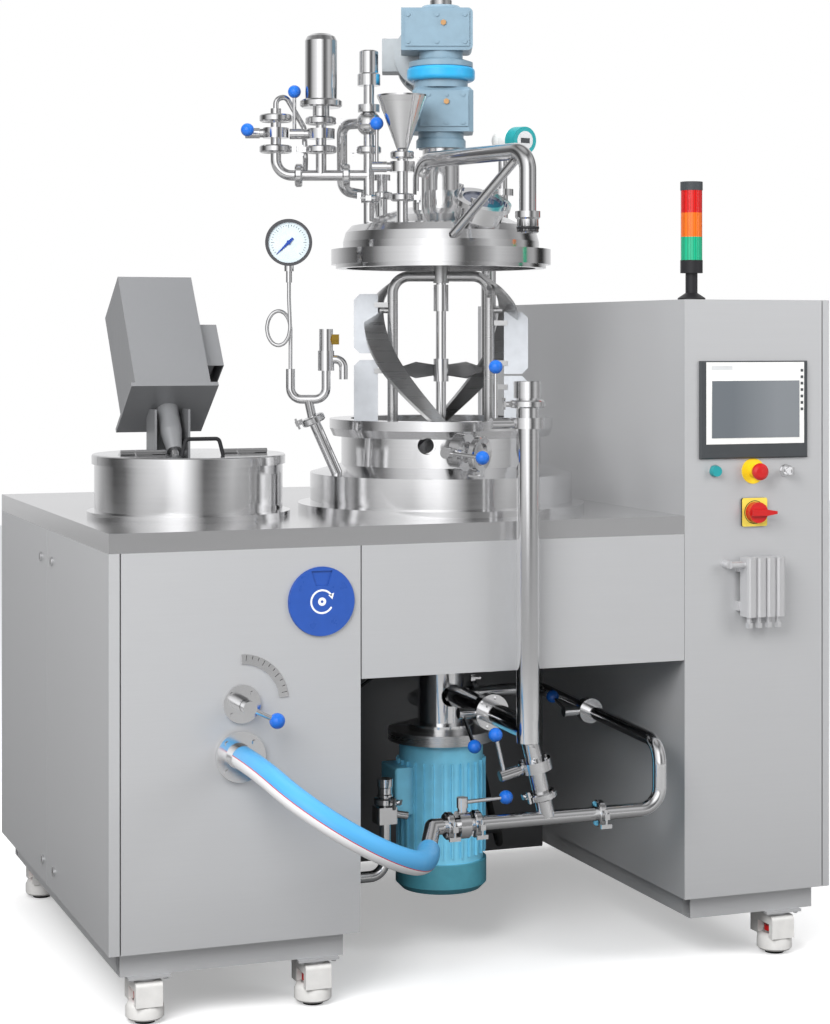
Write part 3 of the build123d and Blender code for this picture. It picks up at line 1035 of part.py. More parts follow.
def agitator():
    """Anchor frame with two ribbons, its scrapers, and the inner shaft with paddles."""
    hub_top, hub_low = 1790.0, 1578.0
    hollow = turned([(SHAFT_RADIUS + RUNNING_FIT, hub_low), (HOLLOW_SHAFT_RADIUS, hub_low), (HOLLOW_SHAFT_RADIUS, hub_top), (SHAFT_RADIUS + RUNNING_FIT, hub_top)])
    half = ANCHOR_TUBE / 2
    frame = hollow
    for side in (1, -1):
        leg = bent_bar(
            [(side * ANCHOR_RADIUS, 0, ANCHOR_BOTTOM + half), (side * ANCHOR_RADIUS, 0, 1594), (side * 14, 0, 1594)],
            ANCHOR_BEND, ANCHOR_TUBE,
        )
        frame += leg
        foot = rod((side * 16, 0, ANCHOR_BOTTOM + half), (side * (ANCHOR_RADIUS + half), 0, ANCHOR_BOTTOM + half), half)
        frame += foot
    bush = turned([(SHAFT_RADIUS + RUNNING_FIT, ANCHOR_BOTTOM), (22, ANCHOR_BOTTOM), (22, ANCHOR_BOTTOM + 30), (SHAFT_RADIUS + RUNNING_FIT, ANCHOR_BOTTOM + 30)])
    frame += bush
    core = Pos(0, 0, 1000) * Cylinder(SHAFT_RADIUS + RUNNING_FIT, 900, align=(Align.CENTER, Align.CENTER, Align.MIN))
    frame -= core
    ribbons = [ribbon(0), ribbon(180)]
    place("anchor_agitator", spin_about_axis(frame, 0))
    for turn, strip in ((0, ribbons[0]), (180, ribbons[1])):
        place("anchor_agitator", spin_about_axis(strip, 0))
        for tie in ribbon_ties(turn):
            place("anchor_agitator", spin_about_axis(tie - frame - strip, 0))
    inner = 150.0
    for side, low, high in ((1, 1362, 1509), (1, 1160, 1357), (-1, 1411, 1552), (-1, 1160, 1395)):
        plate = block((inner, SCRAPER_REACH), (-SCRAPER_THICK / 2, SCRAPER_THICK / 2), (low, high))
        plate = chamfer(plate.edges().filter_by(Axis.Y).group_by(Axis.X)[-1], 14)
        bracket = block((ANCHOR_RADIUS + half - 1.5, inner + 8), (-9, 9), (low + 20, low + 32))
        bracket += block((ANCHOR_RADIUS + half - 1.5, inner + 8), (-9, 9), (high - 32, high - 20))
        turn = 0 if side > 0 else 180
        piece = Rot(0, 0, turn) * (plate - bracket)
        arms = Rot(0, 0, turn) * bracket - frame
        for strip in ribbons:
            piece -= strip
            arms -= strip
        place("wall_scrapers", spin_about_axis(piece, 0))
        place("anchor_agitator", spin_about_axis(arms, 0))
    shaft = post(0, 0, ANCHOR_BOTTOM + 4, 1908, SHAFT_RADIUS) + post(0, 0, 1511, 1574, 18)
    for z, turn in ((1371, 0), (1200, 90)):
        hub = post(0, 0, z - 27, z + 27, 18)
        for side in (0, 180):
            outline = [(12, -15), (60, -25), (PADDLE_REACH, -6), (PADDLE_REACH, 8), (60, 25), (12, 15)]
            blade = extrude(make_face(Polyline(*outline, close=True)), 2, both=True)
            hub += Pos(0, 0, z) * Rot(0, 0, side + turn) * Rot(48, 0, 0) * blade
        shaft += hub
    place("impeller_shaft", spin_about_axis(shaft, 0))


def ribbon(turn):
    """One helical ribbon whose inner edge leans upwards, lofted through sections that climb, turn and draw in at the top."""
    sections = []
    low, high = ANCHOR_BOTTOM + 14, 1570.0
    steps = 22
    draw_in = 1500.0
    pitch = atan2(RIBBON_LEAD, 2 * pi * (RIBBON_OUTER - RIBBON_WIDTH / 2))
    half = RIBBON_THICK / cos(pitch) / 2
    for index in range(steps + 1):
        z = low + (high - low) * index / steps
        angle = radians(turn + 180 + (RIBBON_SIDE_Z - z) * 360 / RIBBON_LEAD)
        outer = RIBBON_OUTER
        if z > draw_in:
            outer -= 34 * ((z - draw_in) / (high - draw_in)) ** 2
        inner = outer - RIBBON_WIDTH
        radial = (cos(angle), sin(angle), 0)
        plane = Plane(origin=(0, 0, z), x_dir=radial, z_dir=(sin(angle), -cos(angle), 0))
        corners = [(outer, -half), (outer, half), (inner, RIBBON_LEAN + half), (inner, RIBBON_LEAN - half)]
        sections.append(plane * make_face(Polyline(*corners, close=True)))
    return loft(sections)


def ribbon_point(turn, z, radius, rise=0.0):
    """A point beside a ribbon, at its angle at height z."""
    angle = radians(turn + 180 + (RIBBON_SIDE_Z - z) * 360 / RIBBON_LEAD)
    return (radius * cos(angle), radius * sin(angle), z + rise)


def ribbon_ties(turn):
    """Short round bars that carry one ribbon: from the foot bush, from its leg, and from the frame's arch."""
    foot_z = ANCHOR_BOTTOM + ANCHOR_TUBE / 2
    side = -1 if turn == 0 else 1
    foot = rod(ribbon_point(turn, foot_z, 16), ribbon_point(turn, foot_z, 160), 9)
    leg_z = RIBBON_SIDE_Z + RIBBON_LEAN - 4
    leg = rod((side * ANCHOR_RADIUS, 0, leg_z), (side * 146, 0, leg_z), 7)
    arch = rod((side * ANCHOR_RADIUS, 0, 1545), ribbon_point(turn, 1560, 126, 6), 7)
    return foot, leg, arch


def pressure_gauge():
    """Gauge case, siphon tube, forked stub on the jacket's shoulder, and the safety valve."""
    x, y, z = GAUGE
    front = GAUGE_FRONT
    way = Vector(*front)
    center = Vector(x, y, z)
    case = rod(center - way * 14, center + way * 16, 50) + rod(center + way * 8, center + way * 16, 54)
    case -= rod(center + way * 10, center + way * 17, 47)
    case -= rod(center + way * 4, center + way * 12, 1.5 + RUNNING_FIT)
    stem = rod((x, y, z - 50), (x, y, z - 66), 11) + rod((x, y, z - 66), (x, y, z - 92), 7)
    place("pressure_gauge", case + stem)
    # The siphon: down, one round coil, and on to the fork
    right, back = GAUGE_SPOT
    coil_z = 1470.0
    coil = 34.0
    steps = 12
    turns = [on_lid(right, back, z - 92), on_lid(right, back - 2, coil_z + 70)]
    for index in range(steps + 1):
        angle = radians(-index * 30)
        share = index / steps
        turns.append(on_lid(right - 24 + 0.8 * coil * cos(angle), back - 8 + 16 * share, coil_z + coil * sin(angle) * 1.2))
    fork_x = right + 1
    turns.append(on_lid(fork_x + 2, back + 8, 1400))
    turns.append(on_lid(fork_x + 2, back + 8, 1376))
    siphon = bent_bar(turns, 40, 9) - stem
    place("pressure_gauge", siphon)
    base_z = 1306.0
    fork_left = on_lid(fork_x + 2, back + 8, 1376)
    fork = bent_bar([fork_left, on_lid(fork_x + 2, back + 8, base_z), on_lid(fork_x + 84, back + 8, base_z), on_lid(fork_x + 84, back + 8, 1380)], 26, 21)
    stub = rod(on_lid(fork_x + 43, back + 8, base_z), on_lid(fork_x + 52, back + 10, base_z - 42), 10.5)
    tilt_top = on_lid(fork_x + 52, back + 10, base_z - 42)
    foot_end = on_lid(-236, -150, 1120)
    lower = rod(tilt_top, foot_end, 13)
    fork += stub
    safety = rod(on_lid(fork_x + 84, back + 8, 1372), on_lid(fork_x + 84, back + 8, 1418), 19)
    safety += rod(on_lid(fork_x + 84, back + 8, 1418), on_lid(fork_x + 84, back + 8, 1468), 16)
    safety += bent_bar([on_lid(fork_x + 84, back + 8, 1398), on_lid(fork_x + 124, back + 8, 1398), on_lid(fork_x + 124, back + 8, 1352)], 18, 20)
    way = (Vector(*foot_end) - Vector(*tilt_top)).normalized()
    ring_center = Vector(*tilt_top) + way * 6
    whole = fork + lower + safety
    whole -= jacket_cutter()
    ring = clamp(ring_center, way, 26, 15, lid_way(-1, 0, -0.2))
    place("pressure_gauge", whole, *[r - rod(tilt_top, foot_end, 13) - stub for r in ring])


GAUGE_SPOT = (-352.0, -172.0)
GAUGE = on_lid(*GAUGE_SPOT, 1667.0)
GAUGE_FRONT = tuple(lid_way(0, -1, 0))


def gauge_needle():
    center, front = Vector(*GAUGE), Vector(*GAUGE_FRONT)
    plane = Plane(origin=center + front * 12, x_dir=lid_way(-0.72, 0, -0.69), z_dir=front)
    pointer = plane * extrude(make_face(Polyline((-14, -3), (0, -3.4), (38, -0.6), (38, 0.6), (0, 3.4), (-14, 3), close=True)), 1.5)
    hub = rod(center + front * 5, center + front * 14.5, 1.5) + rod(center + front * 11.5, center + front * 15, 5)
    place("gauge_needle", pointer + hub)


def jacket_cutter():
    """The space inside the jacket's outer face, taken away from what is welded to it."""
    top = RIM_Z - RIM_HEIGHT
    return turned([
        (0, TABLE_Z), (DRUM_RADIUS, TABLE_Z), (DRUM_RADIUS, DRUM_TOP), (NECK_RADIUS, SHOULDER_TOP), (NECK_RADIUS, top), (0, top),
    ], VESSEL_X, VESSEL_Y)



LOWER_PIPE_Z = 387.0
LOWER_PIPE_Y = -50.0
LOWER_PIPE_LEFT = 722.0
RETURN_X = 1250.0
RETURN_FRONT_Z = 534.0
RETURN_BACK_Z = 562.0
RETURN_Y = 604.0
FORK_Z = 585.0
TILT_FOOT = (972.2, -50.0, 390.0)
TILT_TOP = (932.0, -47.0, 562.0)
OUTLET_PIPE = ((929.0, -45.0, 585.0), (905.0, 331.0, 604.0))
SIDE_PIPE = ((762.0, 186.0, 1202.0), (929.0, -45.0, 1176.0))
REAR_RUN = ((RETURN_X, LOWER_PIPE_Y, RETURN_FRONT_Z), (RETURN_X, RETURN_Y, RETURN_BACK_Z))


def point_between(start, end, share):
    """The point a share of the way from start to end."""
    return tuple(a + (b - a) * share for a, b in zip(start, end))


def pipe_valves():
    """The butterfly valves of the circulation loop."""
    up, left = (0, 0, 1), (-1, 0, 0)
    side_axis = (Vector(*SIDE_PIPE[1]) - Vector(*SIDE_PIPE[0])).normalized()
    side_hub = Vector(-0.81, -0.586, 0)
    outlet_axis = (Vector(*OUTLET_PIPE[1]) - Vector(*OUTLET_PIPE[0])).normalized()
    tilt = (Vector(*TILT_FOOT) - Vector(*TILT_TOP)).normalized()
    rear_way = (Vector(*REAR_RUN[1]) - Vector(*REAR_RUN[0])).normalized()
    tilt_hub = Vector(0, 1, 0).cross(tilt).normalized()
    if tilt_hub.X > 0:
        tilt_hub = tilt_hub * -1
    return {
        "standpipe_valve_handle": Valve((STAND_X, STAND_Y, 1260), up, left, up, STAND_PIPE, 13, 42, 124),
        "side_valve_handle": Valve(point_between(*SIDE_PIPE, 0.4), side_axis, side_hub, side_axis, STAND_PIPE, 16, 24, 92),
        "outlet_valve_handle": Valve(point_between(*OUTLET_PIPE, 0.5), outlet_axis, left, (0, -0.75, -0.66), STAND_PIPE, 16, 30, 96),
        "return_valve_handle": Valve(point_between(TILT_TOP, TILT_FOOT, 0.334), tilt, tilt_hub, tilt * -1, FEED_PIPE, 18, 42, 92),
        "rear_valve_handle": Valve(point_between(*REAR_RUN, 0.57), rear_way, left, (0, 1, 0.25), LOWER_PIPE, 14, 30, 92),
        "hose_valve_handle": Valve((771, LOWER_PIPE_Y, LOWER_PIPE_Z), left, up, (1, 0.15, 0), LOWER_PIPE, 14, 22, 112),
    }


def joined(pieces):
    """One solid from pieces that touch or meet."""
    whole = pieces[0]
    for piece in pieces[1:]:
        whole += piece
    return whole


def circulation(handles):
    """Standpipe, its tilted foot, the outlet and side pipes, and the line round the pump bay."""
    stand = tube((STAND_X, STAND_Y, FORK_Z - 30), (STAND_X, STAND_Y, SOCKET_TOP - SOCKET_DEPTH), STAND_PIPE / 2, STAND_PIPE / 2 - PIPE_WALL)
    stand += tube((STAND_X, STAND_Y, SOCKET_TOP - SOCKET_DEPTH), (STAND_X, STAND_Y, SOCKET_TOP), SOCKET_RADIUS, SOCKET_BORE)
    outlet = rod(*OUTLET_PIPE, STAND_PIPE / 2)
    side = rod(*SIDE_PIPE, STAND_PIPE / 2)
    tilt = rod((STAND_X, STAND_Y, FORK_Z - 30), TILT_TOP, STAND_PIPE / 2, FEED_PIPE / 2) + rod(TILT_TOP, TILT_FOOT, FEED_PIPE / 2)
    line = bent_bar(
        [(LOWER_PIPE_LEFT, LOWER_PIPE_Y, LOWER_PIPE_Z), (RETURN_X, LOWER_PIPE_Y, LOWER_PIPE_Z),
         (RETURN_X, LOWER_PIPE_Y, RETURN_FRONT_Z), (RETURN_X, RETURN_Y, RETURN_BACK_Z),
         (VESSEL_X, RETURN_Y, RETURN_BACK_Z), (VESSEL_X, VESSEL_Y, RETURN_BACK_Z)],
        48, LOWER_PIPE,
    )
    bores = rod(*OUTLET_PIPE, STAND_PIPE / 2 - PIPE_WALL) + rod(*SIDE_PIPE, STAND_PIPE / 2 - PIPE_WALL)
    whole = joined([stand, outlet, side, tilt, line])
    whole -= post(STAND_X, STAND_Y, FORK_Z - 20, SOCKET_TOP - SOCKET_DEPTH, STAND_PIPE / 2 - PIPE_WALL)
    whole -= bores
    whole -= post(VESSEL_X, VESSEL_Y, 400, VESSEL_BOTTOM, STATOR_RADIUS)
    whole -= jacket_cutter()
    for handle in handles.values():
        whole -= handle.slot() + handle.bore()
    place("circulation_pipes", whole)
    for handle in handles.values():
        place("pipe_fittings", handle.body())
    tilt_way = Vector(*TILT_FOOT) - Vector(*TILT_TOP)
    side_way = Vector(*SIDE_PIPE[1]) - Vector(*SIDE_PIPE[0])
    front, left = (0, -1, 0), (-1, 0, 0)
    rings = clamp((STAND_X, STAND_Y, 1302), (0, 0, 1), STAND_PIPE, 15, left)
    rings += clamp(point_between(TILT_TOP, TILT_FOOT, 0.723), tilt_way, FEED_PIPE, 14, left)
    rings += clamp((1100, LOWER_PIPE_Y, LOWER_PIPE_Z), left, LOWER_PIPE, 14, front)
    rings += clamp((803, LOWER_PIPE_Y, LOWER_PIPE_Z), left, LOWER_PIPE, 14, front)
    rings += clamp((739, LOWER_PIPE_Y, LOWER_PIPE_Z), left, LOWER_PIPE, 14, front)
    rings += clamp(point_between(*SIDE_PIPE, 0.56), side_way, STAND_PIPE, 15, (0, 0, -1))
    rings += clamp((1010, RETURN_Y, RETURN_BACK_Z), left, LOWER_PIPE, 14, front)
    rings += clamp((1060, RETURN_Y, RETURN_BACK_Z), left, LOWER_PIPE, 14, (0, 0, 1))
    outlet_way = (Vector(*OUTLET_PIPE[1]) - Vector(*OUTLET_PIPE[0])).normalized()
    outlet_face = Vector(*point_between(*OUTLET_PIPE, 0.5)) - outlet_way * (VALVE_WIDTH / 2)
    bolts = flange_bolts(outlet_face, outlet_way * -1, 34, 6, 4.5, 4, 15)
    tilt_axis = tilt_way.normalized()
    tilt_face = Vector(*point_between(TILT_TOP, TILT_FOOT, 0.334)) - tilt_axis * (VALVE_WIDTH / 2)
    bolts += flange_bolts(tilt_face, tilt_axis * -1, 30, 6, 4, 4, 10)
    place("pipe_fittings", *bolts)
    place("pipe_fittings", *rings)


def pot_outlet():
    """The side pot's outlet valve in the left box and the pipe to the hose flange, and the remote lever outside."""
    remote = Valve((REMOTE_X, POT_Y, REMOTE_Z), (0, 0, 1), (0, -1, 0), (-0.35, 0, 0.94), FEED_PIPE, 16, 10, 10)
    drop = bent_bar(
        [(POT_X, POT_Y, POT_BOTTOM - 3), (POT_X, POT_Y, REMOTE_Z + 50), (REMOTE_X, POT_Y, REMOTE_Z + 26), (REMOTE_X, POT_Y, OUTLET_Z), (REMOTE_X, 30, OUTLET_Z)],
        40, FEED_PIPE, PIPE_WALL,
    )
    place("circulation_pipes", drop - remote.slot(), remote.body())
    return remote


def remote_lever():
    x, y, z = REMOTE_X, POT_Y, REMOTE_Z
    disc = post(x, y, z - 1.5, z + 1.5, FEED_PIPE / 2 - PIPE_WALL - 0.4)
    shaft = rod((x, y, z), (x, 340, z), SPINDLE_RADIUS) + rod((x, 350, z), (x, -58, z), 8)
    shaft += rod((x, 358, z), (x, 338, z), 11)
    hub = rod((x, -42, z), (x, -68, z), 15)
    tip = (x + 60, -64, z - 30)
    lever = rod((x, -60, z), tip, 5.5)
    ball = Pos(*tip) * Sphere(17)
    place("remote_valve_handle", disc + shaft + hub + lever + ball)


HOSE_ROUTE = [
    (282.0, -34.0, 560.0), (282.0, -160.0, 560.0), (325.0, -268.0, 513.0), (417.0, -326.0, 448.0),
    (527.0, -313.0, 388.0), (619.0, -235.0, 353.0), (666.0, -118.0, 352.0),
]


def hose():
    """A free hose from the front panel's flange to the elbow on the lower pipe."""
    print("hose bend radii", [round(bend) for bend in bend_limits(HOSE_ROUTE)])
    place("water_hose", bent_bar(HOSE_ROUTE, 1000, HOSE_DIAMETER, 5))
    start, end = HOSE_ROUTE[0], HOSE_ROUTE[-1]
    place("panel_hardware", tube((start[0], 0, OUTLET_Z), (start[0], -14, OUTLET_Z), 54, FEED_PIPE / 2) + tube((start[0], -14, OUTLET_Z), (start[0], start[1], OUTLET_Z), HOSE_DIAMETER / 2 + 2, FEED_PIPE / 2), *flange_bolts((start[0], -14, OUTLET_Z), (0, -1, 0), 42, 4, 6, 5, 45))
    way = (Vector(*HOSE_ROUTE[-1]) - Vector(*HOSE_ROUTE[-2])).normalized()
    tail = Vector(*end) + way * 40
    line_end = (LOWER_PIPE_LEFT, LOWER_PIPE_Y, LOWER_PIPE_Z)
    corners = [end, (tail.X, tail.Y, tail.Z), (LOWER_PIPE_LEFT - 20, LOWER_PIPE_Y, LOWER_PIPE_Z), line_end]
    radius = LOWER_PIPE / 2 + 2
    legs = [rod(a, b, radius) for a, b in zip(corners, corners[1:])]
    return joined(legs + [Pos(*corner) * Sphere(radius) for corner in corners[1:-1]])


CASTER_SPOTS = [(x, y) for x in (92.0, 466.0, 1610.0) for y in (64.0, 1186.0)]
CASTER_PAD = 22.0
CASTER_TRAIL = 30.0


def caster(index, x, y):
    """A levelling caster: plate on the frame, and a housing with wheel, thumb wheel and screw foot."""
    top = CASTER_HEIGHT
    plate = block((x - 46, x + 46), (y - 46, y + 46), (top - 6, top)) + post(x, y, top - 14, top - 6, 32)
    place("base_frame", plate)
    for dx in (-36, 36):
        for dy in (-36, 36):
            place("base_frame", *flange_bolts((x + dx, y + dy, top - 6), (0, 0, -1), 0, 1, 6, 4))
    body = block((x - 29, x + 29), (y - 42, y + 62), (40, top - 14.3))
    body = fillet(body.edges().filter_by(Axis.X).group_by(Axis.Z)[-1], 10)
    wheel_y = y + 36
    body -= rod((x - 14, wheel_y, 36), (x + 14, wheel_y, 36), 28)
    body -= block((x - 30, x + 30), (y - 26, y + 26), (44, 72))
    body += post(x, y, 40, 74, 9)
    body += post(x, y, 52, 64, 24)
    body += post(x, y, 8, 42, 7) + post(x, y, 0, 8, CASTER_PAD)
    wheel = rod((x - 12, wheel_y, 36), (x + 12, wheel_y, 36), 25) + rod((x - 16, wheel_y, 36), (x + 16, wheel_y, 36), 5)
    place(f"caster_{index}", body + wheel)


GLAND_Z = 262.0
CONDUIT = 17.0
CABLE = 7.5


def gland_spot(reach):
    """A point at the pump motor's right side, outwards along its cable gland."""
    turn = radians(8)
    return (VESSEL_X + reach * cos(turn), VESSEL_Y + reach * sin(turn), GLAND_Z)


def cables():
    """The conduit loop from the bay's back wall to the pump motor, and two cables from the bay's left wall."""
    wall = BAY_BACK
    conduit = bent_bar(
        [(1076, wall, 462), (1076, wall - 90, 462), (1082, wall - 190, 400), (1078, 520, 270),
         (1066, 440, 205), gland_spot(160), gland_spot(113)],
        60, CONDUIT,
    )
    place("motor_cables", conduit)
    wall_x = LEFT_BOX_WIDTH
    upper = bent_bar(
        [(wall_x, 330, 600), (wall_x + 60, 330, 600), (wall_x + 170, 345, 668), gland_point(STATOR_RADIUS + 60, 690), gland_point(STATOR_RADIUS, 690)],
        60, CABLE,
    )
    place("motor_cables", upper)


def gland_point(reach, z):
    """A point beside the homogenizer's housing, towards the bay's left wall."""
    turn = radians(196)
    return (VESSEL_X + reach * cos(turn), VESSEL_Y + reach * sin(turn), z)


def drain_line():
    """A drain from a hose tail down through a valve block and back into the bay's left wall."""
    x, y, top = 684.0, 205.0, 446.0
    pipe = bent_bar([(x, y, top - 10), (x, y, 226), (LEFT_BOX_WIDTH, y, 226)], 36, LID_PIPE)
    tail = turned([(0, top - 40), (18, top - 40), (18, top - 36), (16, top - 34), (16, top - 20), (18, top - 18), (18, top), (0, top)], x, y)
    block_part = block((x - 24, x + 24), (y - 24, y + 24), (346, 384))
    outlet = rod((x + 20, y - 4, 366), (x + 52, y - 8, 360), 9)
    place("pipe_fittings", pipe + tail + fillet(block_part.edges().filter_by(Axis.Z), 6) + outlet)
    place("pipe_fittings", *clamp((x, y, 395), (0, 0, 1), LID_PIPE, 13, (1, -1, 0)))


def whole_machine():
    """Builds every piece in the order in which it is assembled."""
    dome = dome_cutter()
    base_frame()
    table_top()
    body_panels()
    left_front_panel()
    bay_panels()
    control_cabinet()
    control_front_panel()
    panel_hardware()
    status_disc()
    touch_screen()
    emergency_stop()
    key_switch()
    main_switch()
    air_valve_bank()
    signal_tower()
    vessel_shell()
    vessel_jacket()
    homogenizer()
    side_pot()
    side_pot_lid()
    stirrer()
    vessel_lid()
    sight_glass(dome)
    air_filter()
    feed_funnel()
    on_top = lid_valves()
    lid_piping(on_top, dome)
    feed_pipe(dome)
    level_transmitter(dome)
    agitator_drive()
    lift()
    agitator()
    pressure_gauge()
    gauge_needle()
    in_bay = pipe_valves()
    circulation(in_bay)
    pot_outlet()
    remote_lever()
    drain_line()
    elbow = hose()
    place("pipe_fittings", elbow)
    cables()
    for index, spot in enumerate(CASTER_SPOTS, 1):
        caster(index, *spot)
    for name, handle in {**on_top, **in_bay}.items():
        place(name, handle.moving())


FREE_CORDS = ["water_hose"]


def export_all():
    """Moves the machine over its origin and writes one file for each piece."""
    boxes = [solid.bounding_box() for name, solids in nodes.items() if name not in FREE_CORDS for solid in solids]
    low = [min(getattr(box.min, axis) for box in boxes) for axis in "XYZ"]
    high = [max(getattr(box.max, axis) for box in boxes) for axis in "XYZ"]
    shift = Pos(-(low[0] + high[0]) / 2, -(low[1] + high[1]) / 2, -low[2])
    print("size", [round(b - a, 2) for a, b in zip(low, high)])
    print("shift", [round(value, 3) for value in shift.position])
    for name, solids in nodes.items():
        export_step(shift * Compound(solids), f"parts/{name}.step")


whole_machine()
export_all()
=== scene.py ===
import json
from math import cos, pi, radians, sin, sqrt

import bpy
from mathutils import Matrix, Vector

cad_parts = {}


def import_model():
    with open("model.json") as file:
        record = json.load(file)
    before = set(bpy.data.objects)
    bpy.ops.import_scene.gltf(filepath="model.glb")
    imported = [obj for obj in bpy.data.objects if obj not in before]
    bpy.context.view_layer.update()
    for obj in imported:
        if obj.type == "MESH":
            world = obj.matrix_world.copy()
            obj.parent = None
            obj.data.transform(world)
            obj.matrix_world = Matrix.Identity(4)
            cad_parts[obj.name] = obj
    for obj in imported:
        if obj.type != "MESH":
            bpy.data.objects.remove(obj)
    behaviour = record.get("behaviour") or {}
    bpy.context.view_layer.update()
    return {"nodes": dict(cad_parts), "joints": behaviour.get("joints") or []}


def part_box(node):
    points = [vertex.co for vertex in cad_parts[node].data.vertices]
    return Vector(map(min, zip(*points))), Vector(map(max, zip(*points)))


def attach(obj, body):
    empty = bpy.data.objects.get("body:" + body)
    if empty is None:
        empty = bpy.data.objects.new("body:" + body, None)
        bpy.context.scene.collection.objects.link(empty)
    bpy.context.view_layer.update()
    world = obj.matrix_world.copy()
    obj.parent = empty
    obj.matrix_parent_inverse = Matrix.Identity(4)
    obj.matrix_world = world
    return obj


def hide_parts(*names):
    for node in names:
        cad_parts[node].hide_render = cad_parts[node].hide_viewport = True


# A vacuum homogenizer: materials, printed and small details, floor, lights and camera round the CAD frame.

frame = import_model()
nodes = frame["nodes"]
MM = 0.001

# The CAD is drawn from the table's front left floor corner. This is where that corner lies in the frame.
TABLE_CORNER = Vector(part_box("table_top")[0])
ORIGIN = Vector((TABLE_CORNER.x, TABLE_CORNER.y, 0.0))


def at(x, y, z):
    """A point given in millimetres from the table's front left corner on the floor."""
    return ORIGIN + Vector((x, y, z)) * MM


# The vessel's axis, and the turn of the lid's own directions from the table's
VESSEL_PLACE = (890, 383)
LID_TURN = radians(20.6)
VESSEL_AXIS = at(*VESSEL_PLACE, 0)


def on_lid(right, back, z):
    """A point given to the right of and behind the vessel's axis, in the lid's own directions."""
    x, y = VESSEL_PLACE
    return at(
        x + right * cos(LID_TURN) + back * sin(LID_TURN), y - right * sin(LID_TURN) + back * cos(LID_TURN), z
    )


# Materials


class Material:
    """A Principled material with helpers for procedural texture."""

    def __init__(self, name, color, roughness, metallic=0.0):
        self.material = bpy.data.materials.new(name)
        self.material.use_nodes = True
        self.tree = self.material.node_tree
        self.shader = self.tree.nodes["Principled BSDF"]
        self.shader.inputs["Base Color"].default_value = (*color, 1)
        self.shader.inputs["Roughness"].default_value = roughness
        self.shader.inputs["Metallic"].default_value = metallic
        self.material.diffuse_color = (*color, 1)

    def add(self, kind, **values):
        node = self.tree.nodes.new(kind)
        for key, value in values.items():
            if key in node.inputs:
                node.inputs[key].default_value = value
            else:
                setattr(node, key, value)
        return node

    def link(self, source, target):
        self.tree.links.new(source, target)

    def noise(self, scale, stretch=(1, 1, 1), detail=3.0):
        coordinates = self.add("ShaderNodeTexCoord")
        mapping = self.add("ShaderNodeMapping")
        mapping.inputs["Scale"].default_value = stretch
        texture = self.add("ShaderNodeTexNoise")
        texture.inputs["Scale"].default_value = scale
        texture.inputs["Detail"].default_value = detail
        self.link(coordinates.outputs["Object"], mapping.inputs["Vector"])
        self.link(mapping.outputs["Vector"], texture.inputs["Vector"])
        return texture.outputs["Fac"]

    def vary(self, socket, factor, low, high):
        """Runs a factor from low to high into a socket of the shader."""
        spread = self.add("ShaderNodeMapRange")
        spread.inputs["From Min"].default_value = 0.3
        spread.inputs["From Max"].default_value = 0.7
        spread.inputs["To Min"].default_value = low
        spread.inputs["To Max"].default_value = high
        self.link(factor, spread.inputs["Value"])
        self.link(spread.outputs["Result"], self.shader.inputs[socket])

    def tint(self, factor, dark, light):
        """Mixes two colours by a factor into the base colour."""
        ramp = self.add("ShaderNodeValToRGB")
        ramp.color_ramp.elements[0].position = 0.3
        ramp.color_ramp.elements[1].position = 0.7
        ramp.color_ramp.elements[0].color = (*dark, 1)
        ramp.color_ramp.elements[1].color = (*light, 1)
        self.link(factor, ramp.inputs["Fac"])
        self.link(ramp.outputs["Color"], self.shader.inputs["Base Color"])

    def bump(self, factor, strength, distance=0.0005):
        bump = self.add("ShaderNodeBump")
        bump.inputs["Strength"].default_value = strength
        bump.inputs["Distance"].default_value = distance
        self.link(factor, bump.inputs["Height"])
        self.link(bump.outputs["Normal"], self.shader.inputs["Normal"])


def metal(name, color, roughness, streaks=None, spread=0.03, shade=0.96, metallic=1.0):
    """Metal with fine streaks along the axes where streaks has its small numbers."""
    made = Material(name, color, roughness, metallic)
    grain = made.noise(6.0, streaks or (9, 9, 9), 4.0)
    dark = tuple(c * shade for c in color)
    made.tint(grain, dark, color)
    made.vary("Roughness", grain, max(0.03, roughness - spread), roughness + spread)
    return made.material


def paint(name, color, roughness=0.4, coat=0.0):
    """Paint or plastic with a little unevenness in colour and gloss."""
    made = Material(name, color, roughness)
    grain = made.noise(40.0, (1, 1, 1), 4.0)
    made.tint(grain, tuple(c * 0.9 for c in color), color)
    made.vary("Roughness", grain, roughness - 0.04, roughness + 0.06)
    made.bump(grain, 0.05)
    if coat:
        made.shader.inputs["Coat Weight"].default_value = coat
    return made.material


TURNED = (0.8, 0.8, 60)
LONGWAYS = (0.8, 60, 60)
polished = metal("polished_steel", (0.84, 0.84, 0.845), 0.13, TURNED, 0.012, 0.97)
satin = metal("satin_steel", (0.70, 0.70, 0.70), 0.30, TURNED, 0.04)
brushed = metal("brushed_sheet", (0.62, 0.625, 0.635), 0.40, LONGWAYS, 0.03, 0.98, 0.5)
cover_sheet = metal("cover_sheet", (0.29, 0.295, 0.305), 0.42, (40, 40, 1), 0.04, 0.97, 0.45)
table_steel = metal("table_steel", (0.66, 0.66, 0.665), 0.20, LONGWAYS, 0.03, 0.97, 0.85)
# The pump bay's inner walls: the outside sheet darkened as painted shade of the recess
bay_painted_shade_sheet = metal("bay_painted_shade_sheet", (0.15, 0.152, 0.155), 0.34, LONGWAYS, 0.04, 0.96, 0.7)
aluminium = metal("bare_aluminium", (0.74, 0.74, 0.75), 0.30, (2, 2, 2), 0.02, 0.985, 0.7)
brass = metal("brass", (0.72, 0.42, 0.20), 0.30)
brass_yellow = metal("brass_yellow", (0.80, 0.52, 0.10), 0.35)
dark_metal = metal("dark_metal", (0.16, 0.16, 0.17), 0.45)
drive_paint = paint("drive_paint", (0.21, 0.31, 0.385), 0.38, 0.1)
